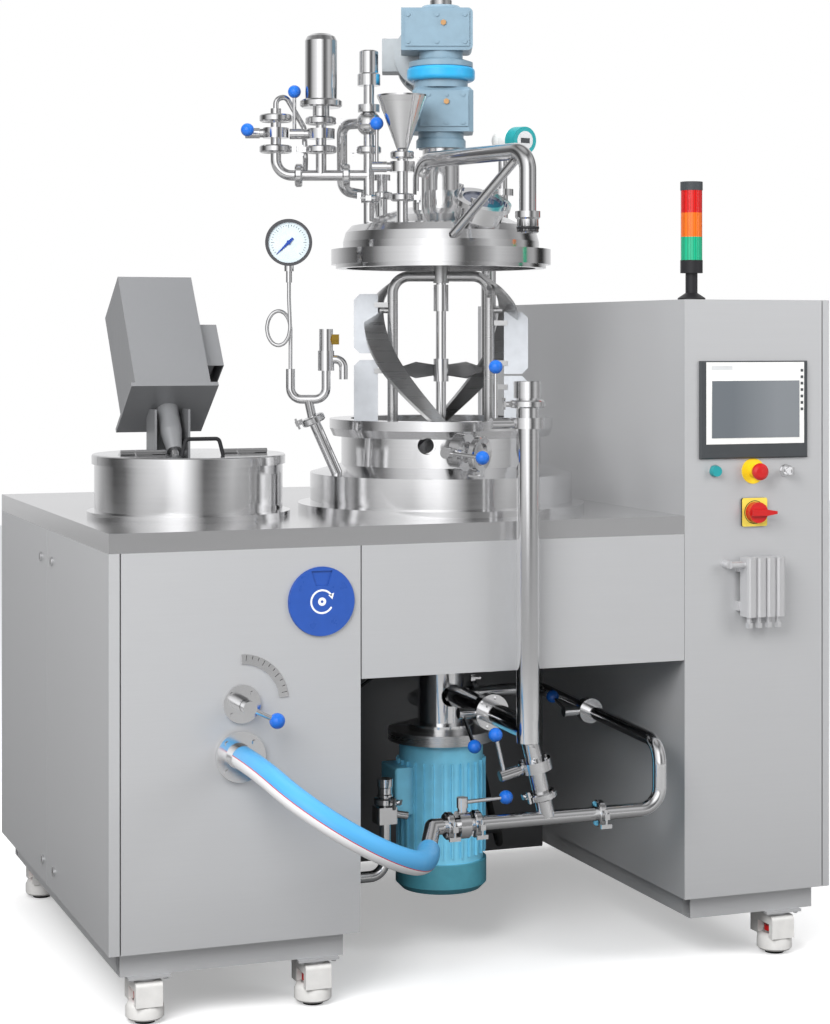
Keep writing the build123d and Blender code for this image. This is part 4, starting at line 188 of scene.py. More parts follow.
drive_motor_paint = paint("drive_motor_paint", (0.40, 0.43, 0.45), 0.42)
ring_paint = paint("ring_blue", (0.03, 0.36, 0.66), 0.32, 0.2)
motor_paint = paint("pump_motor_paint", (0.23, 0.68, 0.92), 0.34, 0.2)
fan_paint = paint("fan_cover_paint", (0.08, 0.33, 0.42), 0.36, 0.2)
ball_blue = paint("ball_blue", (0.012, 0.14, 0.60), 0.22, 0.5)
black_plastic = paint("black_plastic", (0.018, 0.018, 0.02), 0.42)
dark_grey = paint("screen_frame_grey", (0.055, 0.06, 0.065), 0.45)
white_plastic = paint("white_plastic", (0.82, 0.82, 0.80), 0.38)
fascia_grey = paint("fascia_grey", (0.62, 0.63, 0.64), 0.4)
cream = paint("cream_yellow", (0.86, 0.68, 0.10), 0.4)
yellow = paint("safety_yellow", (0.90, 0.62, 0.02), 0.4)
red_plastic = paint("signal_red", (0.55, 0.012, 0.012), 0.3, 0.3)
teal_plastic = paint("teal_plastic", (0.02, 0.30, 0.32), 0.35)
disc_blue = paint("dial_blue", (0.022, 0.085, 0.38), 0.3, 0.3)
ptfe = paint("ptfe", (0.60, 0.625, 0.66), 0.45)
rubber = paint("black_rubber", (0.012, 0.012, 0.012), 0.6)
nylon = paint("caster_nylon", (0.80, 0.79, 0.77), 0.4)
dial_white = paint("dial_white", (0.60, 0.68, 0.72), 0.5)
needle_blue = paint("needle_blue", (0.01, 0.05, 0.30), 0.4)
print_black = paint("print_black", (0.02, 0.02, 0.02), 0.5)
print_white = paint("print_white", (0.85, 0.86, 0.88), 0.4)
seal_black = paint("seal_black", (0.02, 0.02, 0.022), 0.5)


def lens(name, color):
    """A ribbed signal lens in its own colour."""
    made = Material(name, color, 0.22)
    wave = made.add("ShaderNodeTexWave")
    wave.inputs["Scale"].default_value = 60.0
    coordinates = made.add("ShaderNodeTexCoord")
    made.link(coordinates.outputs["Object"], wave.inputs["Vector"])
    made.tint(wave.outputs["Fac"], tuple(c * 0.7 for c in color), color)
    made.shader.inputs["Coat Weight"].default_value = 0.4
    return made.material


lens_red = lens("lens_red", (0.62, 0.01, 0.008))
lens_orange = lens("lens_orange", (0.85, 0.16, 0.01))
lens_green = lens("lens_green", (0.01, 0.42, 0.22))


def screen_material():
    """The display: a plain grey with a painted reflection, a slow change from top to bottom."""
    made = Material("screen_painted_reflection", (0.16, 0.175, 0.19), 0.18)
    coordinates = made.add("ShaderNodeTexCoord")
    split = made.add("ShaderNodeSeparateXYZ")
    made.link(coordinates.outputs["Generated"], split.inputs["Vector"])
    # Painted reflection: the grey grows lighter across the display
    made.tint(split.outputs["X"], (0.13, 0.145, 0.16), (0.20, 0.215, 0.23))
    return made.material


screen_painted_reflection = screen_material()


def glass_material():
    made = Material("sight_glass_blue", (0.02, 0.035, 0.08), 0.06)
    made.shader.inputs["Coat Weight"].default_value = 1.0
    grain = made.noise(12.0)
    made.tint(grain, (0.012, 0.02, 0.05), (0.03, 0.05, 0.11))
    return made.material


glass_blue = glass_material()


# CAD nodes get their finishes


def faces_of(obj):
    """Each polygon of a CAD node with its middle in the frame."""
    vertices = obj.data.vertices
    for polygon in obj.data.polygons:
        total = Vector((0, 0, 0))
        for index in polygon.vertices:
            total += vertices[index].co
        yield polygon, total / len(polygon.vertices)


def finish_node(name, *materials, pick=None):
    """Gives a CAD node its materials. pick tells which one a face with this middle and normal gets."""
    obj = nodes[name]
    obj.data.materials.clear()
    for material in materials:
        obj.data.materials.append(material)
    if pick:
        for polygon, middle in faces_of(obj):
            polygon.material_index = pick(middle, polygon.normal)
    smooth_by_angle(obj)


def smooth_by_angle(obj, angle=32.0):
    for polygon in obj.data.polygons:
        polygon.use_smooth = True
    bpy.context.view_layer.objects.active = obj
    obj.data.set_sharp_from_angle(angle=radians(angle))


for plain in (
    "vessel_shell", "vessel_jacket", "homogenizer_housing", "side_pot", "side_pot_lid", "circulation_pipes",
    "pipe_fittings", "lift_column", "vessel_lid", "lift_arm", "air_filter", "feed_funnel", "lid_piping",
    "impeller_shaft", "homogenizer_rotor", "side_pot_stirrer", "key_switch",
):
    finish_node(plain, polished)
finish_node("anchor_agitator", satin)
finish_node("table_top", table_steel)
finish_node("base_frame", brushed)
finish_node("left_front_panel", brushed)
finish_node("control_cabinet", brushed)
finish_node("control_front_panel", brushed)
finish_node("stirrer_cover", cover_sheet)
finish_node("stirrer_mount", cover_sheet)
finish_node("air_valve_bank", aluminium)
finish_node("wall_scrapers", ptfe)
finish_node("motor_cables", rubber)
finish_node("status_disc", disc_blue)
finish_node("emergency_stop", red_plastic)
finish_node("main_switch", red_plastic)
finish_node("gauge_needle", needle_blue)


def body_panel_pick(middle, normal):
    """The pump bay's own walls are darker than the outside: painted shade inside the recess."""
    inside = middle.x > at(530, 0, 0).x and at(0, 21, 0).y < middle.y < at(0, 1000, 0).y
    return 1 if inside else 0


finish_node("body_panels", brushed, bay_painted_shade_sheet, pick=body_panel_pick)


def above(levels):
    """A picker by height: the count of levels that lie below the face."""
    return lambda middle, normal: sum(middle.z > level * MM for level in levels)


CABINET_Z = 1536
TOWER_LEVELS = [CABINET_Z + 92, CABINET_Z + 146, CABINET_Z + 202, CABINET_Z + 254]
finish_node(
    "signal_tower", black_plastic, lens_green, lens_orange, lens_red, dark_grey, pick=above(TOWER_LEVELS),
)

joints = {joint["name"]: joint for joint in frame["joints"]}
# Length of a lever's ball end, from its far tip, and the blue cap on the hub
BALL_END = 31.0 * MM
REMOTE_BALL_END = 34.0 * MM
CAP_RADIUS = 10.5 * MM
CAP_DEPTH = 0.8 * MM
for name in [name for name in joints if name.endswith("_valve_turn")]:
    joint = joints[name]
    node = name.replace("_valve_turn", "_valve_handle")
    pivot, axis = Vector(joint["pos_m"]), Vector(joint["axis"]).normalized()

    def off_axis(point, pivot=pivot, axis=axis):
        reach = point - pivot
        return (reach - axis * reach.dot(axis)).length

    far = max(off_axis(vertex.co) for vertex in nodes[node].data.vertices)
    tip = max((vertex.co - pivot).dot(axis) for vertex in nodes[node].data.vertices)
    ball = REMOTE_BALL_END if node == "remote_valve_handle" else BALL_END

    def handle_pick(middle, normal):
        """The ball and the cap on the hub's end are blue."""
        on_end = (middle - pivot).dot(axis) > tip - CAP_DEPTH and normal.dot(axis) > 0.9
        cap = off_axis(middle) < CAP_RADIUS and on_end
        return int(off_axis(middle) > far - ball or cap)

    finish_node(node, polished, ball_blue, pick=handle_pick)

# Heights and reaches of the drive's pieces round the vessel's axis
RING_BOTTOM, RING_TOP, RING_RADIUS = 2056.9 * MM, 2090.1 * MM, 81.3 * MM
SHAFT_END_BOTTOM, SHAFT_END_RADIUS = 2237 * MM, 30 * MM
MOTOR_START = 57 * MM
PLUG_RADIUS = 7.8 * MM
PLUG_SPOTS = [(5 * MM, -60 * MM, 2190 * MM), (12 * MM, -63 * MM, 2004 * MM)]


def drive_pick(middle, normal):
    """Paint, blue ring, steel shaft end, motor paint or brass plug."""
    across = Vector((middle.x - VESSEL_AXIS.x, middle.y - VESSEL_AXIS.y))
    if RING_BOTTOM < middle.z < RING_TOP and across.length < RING_RADIUS:
        return 1
    if middle.z > SHAFT_END_BOTTOM and across.length < SHAFT_END_RADIUS:
        return 2
    toward = Vector((sin(LID_TURN), cos(LID_TURN)))
    right = Vector((toward.y, -toward.x))
    if across.dot(toward) > MOTOR_START:
        return 3
    for plug_right, front, height in PLUG_SPOTS:
        proud = across.dot(toward) < front - 0.2 * MM
        if proud and sqrt((across.dot(right) - plug_right) ** 2 + (middle.z - height) ** 2) < PLUG_RADIUS:
            return 4
    return 0


finish_node("agitator_drive", drive_paint, ring_paint, satin, drive_motor_paint, brass, pick=drive_pick)


FLANGE_BOTTOM = 494.5 * MM
FAN_COVER_TOP = 215.5 * MM


def pump_pick(middle, normal):
    """Steel flange on top, fan cover below, and the painted body between."""
    if middle.z > FLANGE_BOTTOM:
        return 1
    if middle.z < FAN_COVER_TOP:
        return 2
    return 0


finish_node("homogenizer_motor", motor_paint, satin, fan_paint, pick=pump_pick)


SCREEN_DISPLAY_DEPTH = -10.5 * MM
SCREEN_BORDER_DEPTH = -9.2 * MM


def screen_pick(middle, normal):
    """The display stands proudest, then its white border, then the frame."""
    depth = middle.y - ORIGIN.y
    if depth < SCREEN_DISPLAY_DEPTH:
        return 2
    if depth < SCREEN_BORDER_DEPTH:
        return 1
    return 0


finish_node("touch_screen", dark_grey, white_plastic, screen_painted_reflection, pick=screen_pick)

# Middles of the round pieces on the panels, across and up
LAMP = (1416, 1141)
STOP = (1517, 1139)
SWITCH = (1518.5, 1044)
STATUS = (464, 881)


def hardware_pick(middle, normal):
    """Colours of the lamp, the stop's ring, the switch's plate and the blue disc's seat."""
    spot = middle - ORIGIN
    x, y, z = spot.x / MM, spot.y / MM, spot.z / MM

    def near(center, radius):
        return (x - center[0]) ** 2 + (z - center[1]) ** 2 < radius**2 and y < 1
    if near(LAMP, 16):
        return 1 if y < -5.1 else 0
    if near(STOP, 31):
        return 2 if y < 0 else 0
    if near(SWITCH, 50) and y < 0.1:
        return 4 if y < -5.9 and max(abs(x - SWITCH[0]), abs(z - SWITCH[1])) < 33 else 3
    if near(STATUS, 76) and y < 0:
        return 5
    return 0


finish_node(
    "panel_hardware", polished, teal_plastic, yellow, black_plastic, cream, disc_blue, pick=hardware_pick,
)


for index in range(1, 7):
    name = f"caster_{index}"
    joint = joints[f"caster_{index}_swivel"]
    pivot = Vector(joint["pos_m"])

    def caster_face(middle, normal, pivot=pivot):
        z = middle.z / MM
        out = Vector((middle.x - pivot.x, middle.y - pivot.y)).length / MM
        if z < 8.2:
            return 1
        if 51.5 < z < 64.5 and out < 24.5:
            return 2
        if z < 42 and out < 7.5:
            return 3
        return 0

    finish_node(name, nylon, rubber, red_plastic, satin, pick=caster_face)


GAUGE_PIVOT = Vector(joints["needle_turn"]["pos_m"])
GAUGE_WAY = Vector(joints["needle_turn"]["axis"]).normalized()


def gauge_pick(middle, normal):
    """The gauge's front ring is darker than its case and pipes."""
    reach = middle - GAUGE_PIVOT
    along = reach.dot(GAUGE_WAY)
    return int(along > -0.006 and 0.045 < (reach - GAUGE_WAY * along).length < 0.056)


finish_node("pressure_gauge", polished, dark_metal, pick=gauge_pick)


FEED_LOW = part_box("feed_pipe")[0].z
STANDPIPE = at(929, -45, 0)


def seal_pick(middle, normal):
    """The black seal ring round the feed pipe's plug."""
    across = Vector((middle.x - STANDPIPE.x, middle.y - STANDPIPE.y)).length
    return int(FEED_LOW + 7.5 * MM < middle.z < FEED_LOW + 15.5 * MM and across > 23.9 * MM)


finish_node("feed_pipe", polished, seal_black, pick=seal_pick)


FACE_BACK = on_lid(180, 25, 1919)
FACE_FRONT = on_lid(200, -5, 1917)
FACE_WAY = (FACE_FRONT - FACE_BACK).normalized()


def transmitter_pick(middle, normal):
    """Steel stem, white head and a teal ring round its face."""
    if middle.z < at(0, 0, 1893).z:
        return 0
    return 2 if (middle - FACE_BACK).dot(FACE_WAY) > -0.001 else 1


finish_node("level_transmitter", polished, white_plastic, teal_plastic, pick=transmitter_pick)

SIGHT_ANGLE = radians(-60.8)
SIGHT_TILT = radians(27)
SIGHT_FOOT = on_lid(172 * cos(SIGHT_ANGLE), 172 * sin(SIGHT_ANGLE), 1724)
SIGHT_TIP = on_lid(cos(SIGHT_ANGLE) * sin(SIGHT_TILT), sin(SIGHT_ANGLE) * sin(SIGHT_TILT), cos(SIGHT_TILT))
SIGHT_WAY = (SIGHT_TIP - on_lid(0, 0, 0)) / MM
SIGHT_GLASS = SIGHT_FOOT + SIGHT_WAY * 44 * MM


def glass_pick(middle, normal):
    """The pane looks up from the middle of the sight glass."""
    return int(normal.z > 0.8 and (middle - SIGHT_GLASS).length < 47 * MM)


finish_node("sight_glass", polished, glass_blue, pick=glass_pick)

HATCH_HANDLE = at(0, 350, 1190)


def hatch_pick(middle, normal):
    """The hatch's handle is black. It stands above the sheet and in front of the hinge."""
    return int(middle.z > HATCH_HANDLE.z and middle.y < HATCH_HANDLE.y)


finish_node("side_pot_hatch", polished, seal_black, pick=hatch_pick)

# Pieces that are added to the CAD


def mesh_piece(name, vertices, faces, material, body):
    data = bpy.data.meshes.new(name)
    data.from_pydata([tuple(v) for v in vertices], [], faces)
    data.materials.append(material)
    obj = bpy.data.objects.new(name, data)
    bpy.context.scene.collection.objects.link(obj)
    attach(obj, body)
    return obj


def prism(name, corners, start, way, material, body):
    """A flat shape with thickness. corners lie on its back face, and way is its thickness as a vector."""
    count = len(corners)
    vertices = [Vector(c) + start for c in corners] + [Vector(c) + start + way for c in corners]
    faces = [tuple(reversed(range(count))), tuple(range(count, 2 * count))]
    faces += [(i, (i + 1) % count, count + (i + 1) % count, count + i) for i in range(count)]
    return mesh_piece(name, vertices, faces, material, body)


def rectangle(left, right, low, high):
    """The corners of an upright rectangle, given in millimetres."""
    corners = [(left, 0, low), (right, 0, low), (right, 0, high), (left, 0, high)]
    return [Vector(corner) * MM for corner in corners]


def ring_prism(name, center, right, up, inner, outer, begin, end, depth, material, body, steps=48):
    """A flat ring or an arc of one, standing depth proud of its plane."""
    out = right.cross(up).normalized()
    full = abs(end - begin) >= 2 * pi - 1e-6
    count = steps if full else steps + 1
    vertices = []
    for layer in (0.0, depth):
        for radius in (inner, outer):
            for index in range(count):
                angle = begin + (end - begin) * index / steps
                vertices.append(center + right * radius * cos(angle) + up * radius * sin(angle) + out * layer)
    faces = []

    def spot(layer, rim, index):
        return (layer * 2 + rim) * count + index % count
    for index in range(steps):
        nxt = index + 1
        faces.append((spot(1, 0, index), spot(1, 1, index), spot(1, 1, nxt), spot(1, 0, nxt)))
        faces.append((spot(0, 0, nxt), spot(0, 1, nxt), spot(0, 1, index), spot(0, 0, index)))
        faces.append((spot(0, 1, index), spot(0, 1, nxt), spot(1, 1, nxt), spot(1, 1, index)))
        faces.append((spot(0, 0, nxt), spot(0, 0, index), spot(1, 0, index), spot(1, 0, nxt)))
    if not full:
        faces.append((spot(0, 0, 0), spot(0, 1, 0), spot(1, 1, 0), spot(1, 0, 0)))
        faces.append((spot(0, 1, steps), spot(0, 0, steps), spot(1, 0, steps), spot(1, 1, steps)))
    return mesh_piece(name, vertices, faces, material, body)


FRONT = Vector((0, -1, 0))
RIGHT = Vector((1, 0, 0))
UP = Vector((0, 0, 1))


def gauge_dial():
    """White dial with ticks in the pressure gauge."""
    joint = joints["needle_turn"]
    front = Vector(joint["axis"]).normalized()
    center = Vector(joint["pos_m"]) - front * 2 * MM
    right = UP.cross(front).normalized()
    ring_prism("gauge_dial", center, right, UP, 0.0022, 0.0468, 0, 2 * pi, 0.0006, dial_white, "machine", 64)
    for index in range(31):
        angle = radians(225 - 270 * index / 30)
        length = 0.0075 if index % 5 == 0 else 0.004
        ring_prism(
            f"gauge_tick_{index}", center + front * 0.0006, right, UP, 0.041 - length, 0.041,
            angle - 0.012, angle + 0.012, 0.0003, print_black, "machine", 1,
        )


gauge_dial()


def transmitter_face():
    """A pale disc with a dark display on the level transmitter."""
    right = UP.cross(FACE_WAY).normalized()
    up = FACE_WAY.cross(right)
    center = FACE_FRONT + FACE_WAY * 0.0002
    ring_prism(
        "transmitter_disc", center, right, up, 0.0005, 0.0225, 0, 2 * pi, 0.0006, fascia_grey, "lid", 48,
    )
    corners = [(-0.013, -0.006), (0.013, -0.006), (0.013, 0.006), (-0.013, 0.006)]
    outline = [right * x + up * z for x, z in corners]
    prism("transmitter_display", outline, center + FACE_WAY * 0.0006, FACE_WAY * 0.0004, dark_grey, "lid")


transmitter_face()


def safety_cap():
    """A yellow cap on the side of the safety valve."""
    way = (on_lid(1, 0, 0) - on_lid(0, 0, 0)).normalized()
    across = UP.cross(way)
    center = on_lid(-253, -164, 1444)
    outline = [(across * cos(radians(60 * i)) + UP * sin(radians(60 * i))) * 0.0135 for i in range(6)]
    prism("safety_cap", outline, center, way * 0.016, brass_yellow, "machine")


safety_cap()


def dial_graphics():
    """A white arrow ring and a dot on the blue status dial."""
    center = at(STATUS[0], -7, STATUS[1])
    begin, end = radians(30), radians(330)
    ring_prism("dial_ring", center, RIGHT, UP, 0.0225, 0.0265, begin, end, 0.0003, print_white, "dial", 40)
    base = center + RIGHT * 0.0245 * cos(begin) + UP * 0.0245 * sin(begin)
    outline = [(0.006, 0, 0.006), (-0.007, 0, 0.001), (0.002, 0, -0.008)]
    prism("dial_arrow", outline, base, FRONT * 0.0003, print_white, "dial")
    ring_prism("dial_dot", center, RIGHT, UP, 0.003, 0.009, 0, 2 * pi, 0.0003, print_white, "dial", 32)


dial_graphics()


def scale_marks():
    """Engraved marks on the remote lever's scale."""
    center = at(286, -3, 671)
    for index in range(10):
        angle = radians(12 + 8 * index)
        ring_prism(
            f"scale_mark_{index}", center, RIGHT, UP, 0.096 if index % 3 else 0.091, 0.103,
            angle - 0.006, angle + 0.006, 0.0003, print_black, "machine", 1,
        )


scale_marks()


def screen_keys():
    """The small keys beside the display, and a small plate."""
    for index in range(7):
        z = 1372 - 15 * index
        key = rectangle(-3.2, 3.2, -3.2, 3.2)
        prism(f"screen_key_{index}", key, at(1641, -10, z), FRONT * 0.6 * MM, dark_grey, "machine")
    plate = rectangle(0, 54, 0, 9)
    prism("screen_plate", plate, at(1404, -10, 1374), FRONT * 0.4 * MM, fascia_grey, "machine")


screen_keys()


def switch_ring():
    """A dark ring on the main switch's plate."""
    center = at(SWITCH[0], -6, SWITCH[1])
    ring_prism(
        "switch_ring", center, RIGHT, UP, 0.0255, 0.0272, 0, 2 * pi, 0.0003, print_black, "machine", 48,
    )


switch_ring()

SKIRT_PROFILE = [(26, 9), (37, 9), (41, 13), (41, 34), (37, 43), (30, 47), (26, 47)]
SKIRT_STEPS = 40
WINDOW_HEIGHT = 66 * MM


def caster_trim(index):
    """A round skirt low on the caster's housing, and a black window with a red dial on its front."""
    body = f"caster_{index}_body"
    pivot = Vector(joints[f"caster_{index}_swivel"]["pos_m"])
    floor_spot = Vector((pivot.x, pivot.y, 0))
    vertices = []
    for radius, height in SKIRT_PROFILE:
        for step in range(SKIRT_STEPS):
            angle = 2 * pi * step / SKIRT_STEPS
            vertices.append(floor_spot + Vector((radius * cos(angle), radius * sin(angle), height)) * MM)
    rings = len(SKIRT_PROFILE)
    faces = []
    for ring in range(rings):
        here, after = ring * SKIRT_STEPS, (ring + 1) % rings * SKIRT_STEPS
        for step in range(SKIRT_STEPS):
            turn = (step + 1) % SKIRT_STEPS
            faces.append((here + step, here + turn, after + turn, after + step))
    smooth_by_angle(mesh_piece(f"caster_skirt_{index}", vertices, faces, nylon, body), 40.0)
    housing = [vertex.co for vertex in nodes[f"caster_{index}"].data.vertices if 0.052 < vertex.co.z < 0.080]
    front = min(spot.y for spot in housing)
    middle = (min(spot.x for spot in housing) + max(spot.x for spot in housing)) / 2
    pane = ("window", 17, 9, 0.0, black_plastic)
    dial = ("dial", 13, 5, 0.5, red_plastic)
    for label, wide, tall, proud, material in (pane, dial):
        outline = rectangle(-wide, wide, -tall, tall)
        place = Vector((middle, front - proud * MM, WINDOW_HEIGHT))
        prism(f"caster_{label}_{index}", outline, place, FRONT * 0.5 * MM, material, body)


for caster_index in range(1, 7):
    caster_trim(caster_index)

# The hose is a free curve on the CAD route
HOSE_ROUTE = [
    (282.0, -34.0, 560.0), (282.0, -160.0, 560.0), (325.0, -268.0, 513.0), (417.0, -326.0, 448.0),
    (527.0, -313.0, 388.0), (619.0, -235.0, 353.0), (666.0, -118.0, 352.0),
]
HOSE_DIAMETER = 0.051
HOSE_BLUE = (0.08, 0.36, 0.68)
HOSE_RED = (0.62, 0.02, 0.04)
HOSE_WHITE = (0.85, 0.85, 0.86)
# The white band's start and end round the hose, as shares of a turn, and its red edges
HOSE_BAND = (0.40, 0.66)
HOSE_EDGE = 0.012


def hose_material():
    """Blue rubber with a white band edged in red along its outer side."""
    made = Material("hose_blue", (0.02, 0.24, 0.62), 0.35)
    made.shader.inputs["Coat Weight"].default_value = 0.2
    coordinates = made.add("ShaderNodeTexCoord")
    split = made.add("ShaderNodeSeparateXYZ")
    ramp = made.add("ShaderNodeValToRGB")
    ramp.color_ramp.interpolation = "CONSTANT"
    stops = [
        (0.0, HOSE_BLUE), (HOSE_BAND[0], HOSE_RED), (HOSE_BAND[0] + HOSE_EDGE, HOSE_WHITE),
        (HOSE_BAND[1] - HOSE_EDGE, HOSE_RED), (HOSE_BAND[1], HOSE_BLUE),
    ]
    elements = ramp.color_ramp.elements
    while len(elements) < len(stops):
        elements.new(0.5)
    for element, (position, color) in zip(elements, stops):
        element.position = position
        element.color = (*color, 1)
    made.link(coordinates.outputs["UV"], split.inputs["Vector"])
    made.link(split.outputs["Y"], ramp.inputs["Fac"])
    made.link(ramp.outputs["Color"], made.shader.inputs["Base Color"])
    grain = made.noise(60.0)
    made.vary("Roughness", grain, 0.3, 0.42)
    return made.material


def hose():
    """The free hose from the front panel to the lower pipe."""
    curve = bpy.data.curves.new("water_line", "CURVE")
    curve.dimensions = "3D"
    curve.bevel_depth = HOSE_DIAMETER / 2
    curve.bevel_resolution = 10
    curve.use_fill_caps = True
    spline = curve.splines.new("NURBS")
    spline.points.add(len(HOSE_ROUTE) - 1)
    for point, spot in zip(spline.points, HOSE_ROUTE):
        point.co = (*at(*spot), 1.0)
    spline.order_u = 3
    spline.use_endpoint_u = True
    spline.resolution_u = 16
    curve.materials.append(hose_material())
    obj = bpy.data.objects.new("water_line", curve)
    bpy.context.scene.collection.objects.link(obj)
    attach(obj, "machine")
    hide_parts("water_hose")
    tuple(at(*HOSE_ROUTE[0]))


hose()

# Floor, world, lights and camera

# Camera: calibrated on the photograph, 830 pixels wide and 1024 high
FOCAL_PIXELS = 2217.55
FRAME_HEIGHT = 1024
HORIZON_PIXEL = 337.1
CAMERA_YAW = 20.625
CAMERA_PLACE = (-1027.5, -4536.5, 1449.4)


def floor_material():
    """A pale floor to the camera that throws back less light than it shows."""
    made = Material("studio_floor", (0.9, 0.9, 0.9), 0.9)
    grain = made.noise(3.0)
    made.tint(grain, (0.89, 0.89, 0.89), (0.90, 0.90, 0.90))
    path = made.add("ShaderNodeLightPath")
    dim = made.add("ShaderNodeBsdfDiffuse")
    spot = made.add("ShaderNodeNewGeometry")
    distance = made.add("ShaderNodeVectorMath", operation="LENGTH")
    spread = made.add("ShaderNodeMapRange")
    spread.inputs["From Min"].default_value = 0.7
    spread.inputs["From Max"].default_value = 7.0
    spread.inputs["To Min"].default_value = 0.16
    spread.inputs["To Max"].default_value = 0.80
    made.link(spot.outputs["Position"], distance.inputs[0])
    made.link(distance.outputs["Value"], spread.inputs["Value"])
    made.link(spread.outputs["Result"], dim.inputs["Color"])
    glow = made.add("ShaderNodeEmission")
    glow.inputs["Strength"].default_value = 0.34
    lit = made.add("ShaderNodeAddShader")
    mix = made.add("ShaderNodeMixShader")
    made.link(made.shader.outputs["BSDF"], lit.inputs[0])
    made.link(glow.outputs["Emission"], lit.inputs[1])
    made.link(path.outputs["Is Camera Ray"], mix.inputs["Fac"])
    made.link(dim.outputs["BSDF"], mix.inputs[1])
    made.link(lit.outputs["Shader"], mix.inputs[2])
    made.link(mix.outputs["Shader"], made.tree.nodes["Material Output"].inputs["Surface"])
    return made.material


def floor():
    """A wide level floor that only sets the scene."""
    size = 12.0
    corners = [(-size, -size, 0), (size, -size, 0), (size, size, 0), (-size, size, 0)]
    data = bpy.data.meshes.new("studio_floor")
    data.from_pydata(corners, [], [(0, 1, 2, 3)])
    data.materials.append(floor_material())
    obj = bpy.data.objects.new("studio_floor", data)
    bpy.context.scene.collection.objects.link(obj)


floor()


# Bands of the studio round the machine: angle to the right of the camera's own direction, and brightness
STUDIO_BANDS = [
    (-180, 0.95), (-140, 0.70), (-115, 0.30), (-96, 0.06), (-78, 0.14), (-58, 0.65), (-32, 1.05),
    (-14, 1.6), (-2, 1.6), (10, 0.85), (24, 0.10), (38, 0.22), (60, 0.70), (92, 0.30), (112, 0.50),
    (122, 0.03), (132, 0.03), (146, 0.6), (180, 0.95),
]


# Brightness overhead by the sine of the angle above the horizon
STUDIO_CEILING = [(0.0, 0.95), (0.55, 0.95), (0.74, 0.35), (0.86, 0.12), (1.0, 0.55)]


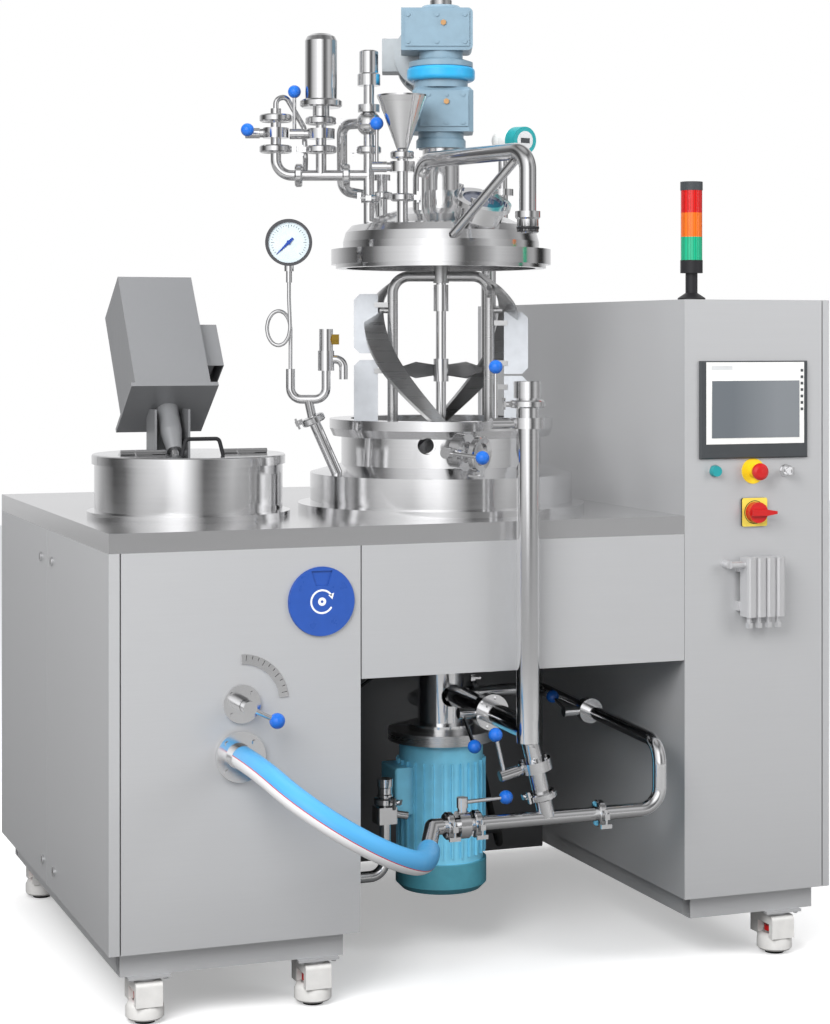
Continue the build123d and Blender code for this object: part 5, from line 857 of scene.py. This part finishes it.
def world():
    """Studio light in soft upright bands, brighter overhead, and plain white to the camera."""
    made = bpy.data.worlds.new("studio")
    made.use_nodes = True
    bpy.context.scene.world = made
    tree = made.node_tree
    tree.nodes.clear()
    new, link = tree.nodes.new, tree.links.new
    output = new("ShaderNodeOutputWorld")
    path = new("ShaderNodeLightPath")
    mix = new("ShaderNodeMixShader")
    soft = new("ShaderNodeBackground")
    plain = new("ShaderNodeBackground")
    coordinates = new("ShaderNodeTexCoord")
    turn = new("ShaderNodeVectorRotate")
    turn.rotation_type = "Z_AXIS"
    turn.inputs["Angle"].default_value = radians(CAMERA_YAW)
    split = new("ShaderNodeSeparateXYZ")
    angle = new("ShaderNodeMath")
    angle.operation = "ARCTAN2"
    away = new("ShaderNodeMath")
    away.operation = "MULTIPLY"
    away.inputs[1].default_value = -1.0
    spread = new("ShaderNodeMapRange")
    spread.inputs["From Min"].default_value = -pi
    spread.inputs["From Max"].default_value = pi
    bands = new("ShaderNodeValToRGB")
    elements = bands.color_ramp.elements
    while len(elements) < len(STUDIO_BANDS):
        elements.new(0.5)
    for element, (degrees, bright) in zip(elements, STUDIO_BANDS):
        element.position = (degrees + 180) / 360
        element.color = (bright, bright, bright * 1.01, 1)
    height = new("ShaderNodeMapRange")
    height.interpolation_type = "SMOOTHSTEP"
    height.inputs["From Min"].default_value = 0.35
    height.inputs["From Max"].default_value = 0.95
    overhead = new("ShaderNodeMix")
    overhead.data_type = "RGBA"
    ceiling = new("ShaderNodeValToRGB")
    levels = ceiling.color_ramp.elements
    while len(levels) < len(STUDIO_CEILING):
        levels.new(0.5)
    for level, (rise, bright) in zip(levels, STUDIO_CEILING):
        level.position = rise
        level.color = (bright, bright, bright * 1.01, 1)
    link(split.outputs["Z"], ceiling.inputs["Fac"])
    link(ceiling.outputs["Color"], overhead.inputs[7])
    link(coordinates.outputs["Generated"], turn.inputs["Vector"])
    link(turn.outputs["Vector"], split.inputs["Vector"])
    link(split.outputs["Y"], away.inputs[0])
    link(split.outputs["X"], angle.inputs[0])
    link(away.outputs["Value"], angle.inputs[1])
    link(angle.outputs["Value"], spread.inputs["Value"])
    link(spread.outputs["Result"], bands.inputs["Fac"])
    link(split.outputs["Z"], height.inputs["Value"])
    link(height.outputs["Result"], overhead.inputs["Factor"])
    link(bands.outputs["Color"], overhead.inputs[6])
    link(overhead.outputs[2], soft.inputs["Color"])
    soft.inputs["Strength"].default_value = 0.9
    plain.inputs["Color"].default_value = (1, 1, 1, 1)
    link(path.outputs["Is Camera Ray"], mix.inputs["Fac"])
    link(soft.outputs["Background"], mix.inputs[1])
    link(plain.outputs["Background"], mix.inputs[2])
    link(mix.outputs["Shader"], output.inputs["Surface"])


world()


def softbox(name, place, target, size, power):
    """A soft light that shines on a target and isn't mirrored in the steel."""
    light = bpy.data.lights.new(name, "AREA")
    light.shape = "RECTANGLE"
    light.size, light.size_y = size
    light.energy = power
    obj = bpy.data.objects.new(name, light)
    obj.location = place
    obj.rotation_euler = (Vector(target) - Vector(place)).to_track_quat("-Z", "Y").to_euler()
    obj.visible_glossy = False
    bpy.context.scene.collection.objects.link(obj)


softbox("key_light", (-2.4, -2.8, 3.0), (0, 0, 1.1), (2.2, 2.4), 165)
softbox("fill_light", (3.0, -3.0, 2.6), (0, 0, 1.1), (1.6, 2.6), 76)
softbox("top_light", (0.2, 0.4, 4.4), (0, 0, 1.0), (3.0, 3.0), 112)



def camera():
    """The photograph's own view."""
    data = bpy.data.cameras.new("photo_camera")
    data.sensor_fit = "VERTICAL"
    data.sensor_height = 36.0
    data.lens = FOCAL_PIXELS / FRAME_HEIGHT * data.sensor_height
    data.shift_y = (HORIZON_PIXEL - FRAME_HEIGHT / 2) / FRAME_HEIGHT
    obj = bpy.data.objects.new("photo_camera", data)
    obj.location = at(*CAMERA_PLACE)
    obj.rotation_euler = (radians(90), 0, radians(-CAMERA_YAW))
    bpy.context.scene.collection.objects.link(obj)
    bpy.context.scene.camera = obj


camera()
bpy.context.scene.view_settings.view_transform = "Standard"
